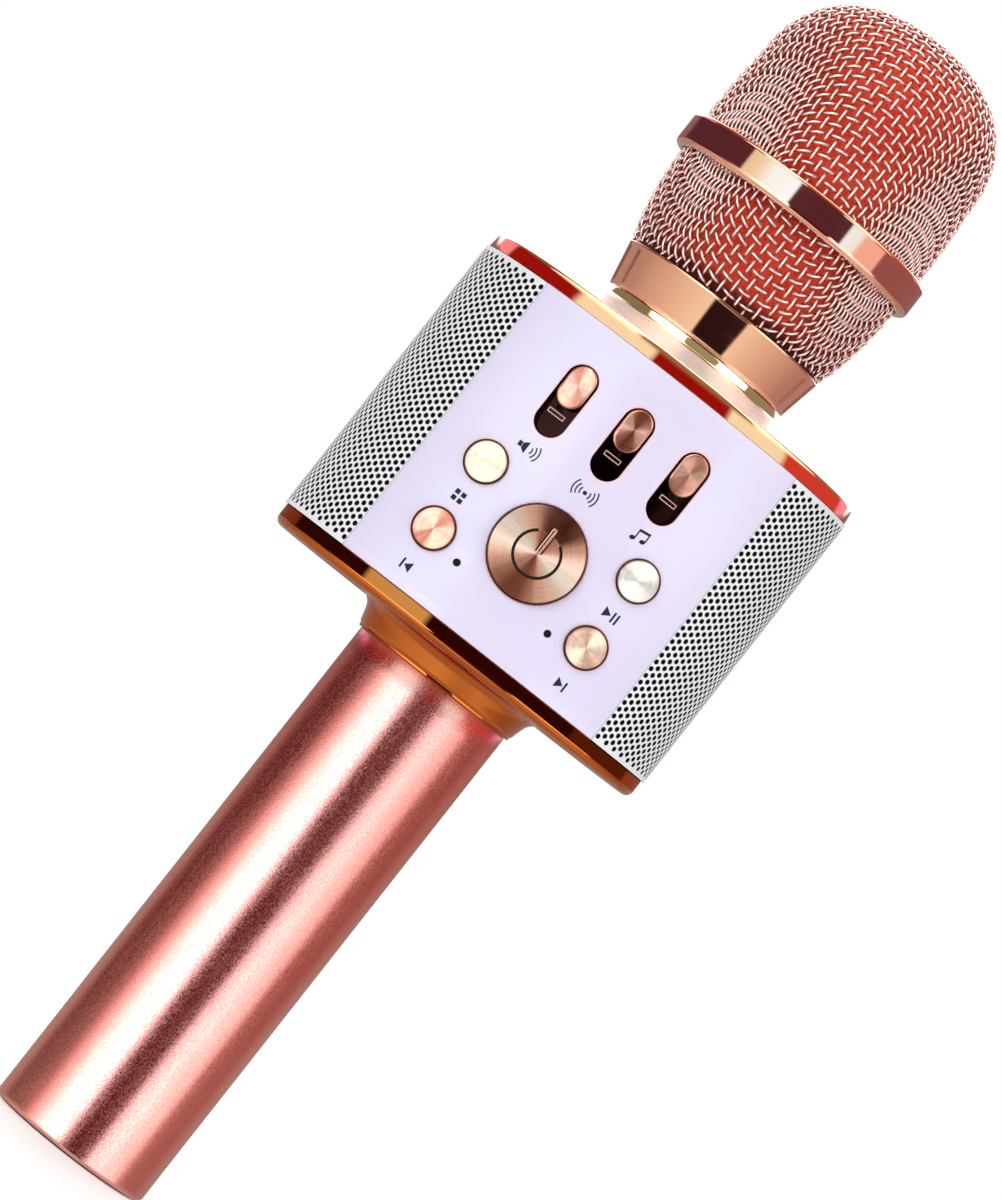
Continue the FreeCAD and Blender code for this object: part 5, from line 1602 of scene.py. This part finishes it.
def softbox(name, place, width, height, power, colour=(1, 1, 1)):
    """An area light aimed at the body, hidden from reflections."""
    light = bpy.data.lights.new(name, "AREA")
    light.shape = "RECTANGLE"
    light.size, light.size_y = width, height
    light.energy = power
    light.color = colour
    lamp = bpy.data.objects.new(name, light)
    scene.collection.objects.link(lamp)
    lamp.location = place
    aim = Vector((0, 0, 0.14)) - Vector(place)
    lamp.rotation_euler = aim.to_track_quat("-Z", "Y").to_euler()
    lamp.visible_glossy = False


def pale_floor():
    """A disc that fades into the backdrop away from the microphone."""
    mat = Mat("floor_pale")
    place = mat.split(mat.node("ShaderNodeNewGeometry").outputs["Position"])
    squares = [mat.math("MULTIPLY", place[axis], place[axis]) for axis in "XY"]
    radius = mat.math("SQRT", mat.math("ADD", *squares))
    fade = mat.remap(radius, to=(0, 1), span=(0.06, 0.42))
    tone = mat.tint((0.93, 0.93, 0.93), (0.90, 0.90, 0.905), mat.noise(scale=900), to=(0, 0.2))
    material = mat.finish(Base_Color=tone, Roughness=0.6, Specular_IOR_Level=0.1)
    clear = mat.node("ShaderNodeBsdfTransparent")
    blend = mat.node("ShaderNodeMixShader")
    for slot, source in enumerate((fade, mat.shader.outputs[0], clear.outputs[0])):
        mat.feed(blend.inputs[slot], source)
    mat.feed(mat.output.inputs[0], blend.outputs[0])
    shape = bmesh.new()
    bmesh.ops.create_circle(shape, cap_ends=True, radius=0.9, segments=96)
    bmesh.ops.translate(shape, verts=shape.verts, vec=(0, 0, -0.0003))
    mesh = bpy.data.meshes.new("floor")
    shape.to_mesh(mesh)
    shape.free()
    mesh.materials.append(material)
    floor = bpy.data.objects.new("floor", mesh)
    scene.collection.objects.link(floor)
    floor.visible_glossy = False                # metal shows the studio cards, not the floor


def add_camera():
    """A long lens in front, rolled so that the microphone leans in the frame."""
    lens = bpy.data.cameras.new("view")
    lens.sensor_fit = "VERTICAL"
    lens.sensor_height = 36.0
    lens.lens = 191.0
    lens.clip_start, lens.clip_end = 0.01, 20.0
    camera = bpy.data.objects.new("view", lens)
    scene.collection.objects.link(camera)
    place, aim = Vector((-0.0145, -1.110, 0.097)), Vector((0.00044, 0.0, 0.12107))
    roll = math.radians(38.2)
    ahead = (aim - place).normalized()
    right = Vector((math.cos(roll), 0, math.sin(roll)))
    right = (right - ahead * ahead.dot(right)).normalized()
    up = right.cross(ahead)
    rows = [(right[k], up[k], -ahead[k], place[k]) for k in range(3)]
    camera.matrix_world = Matrix((*rows, (0, 0, 0, 1)))
    scene.camera = camera


studio_world()
softbox("key_softbox", (-0.55, -0.75, 0.75), width=0.5, height=0.5, power=4.2,
        colour=(1.0, 0.99, 0.98))
softbox("fill_softbox", (0.7, -0.6, 0.35), width=0.5, height=0.6, power=2.2,
        colour=(0.98, 0.98, 1.0))
softbox("rim_softbox", (0.1, 0.8, 0.7), width=0.7, height=0.4, power=2.5)
pale_floor()
add_camera()
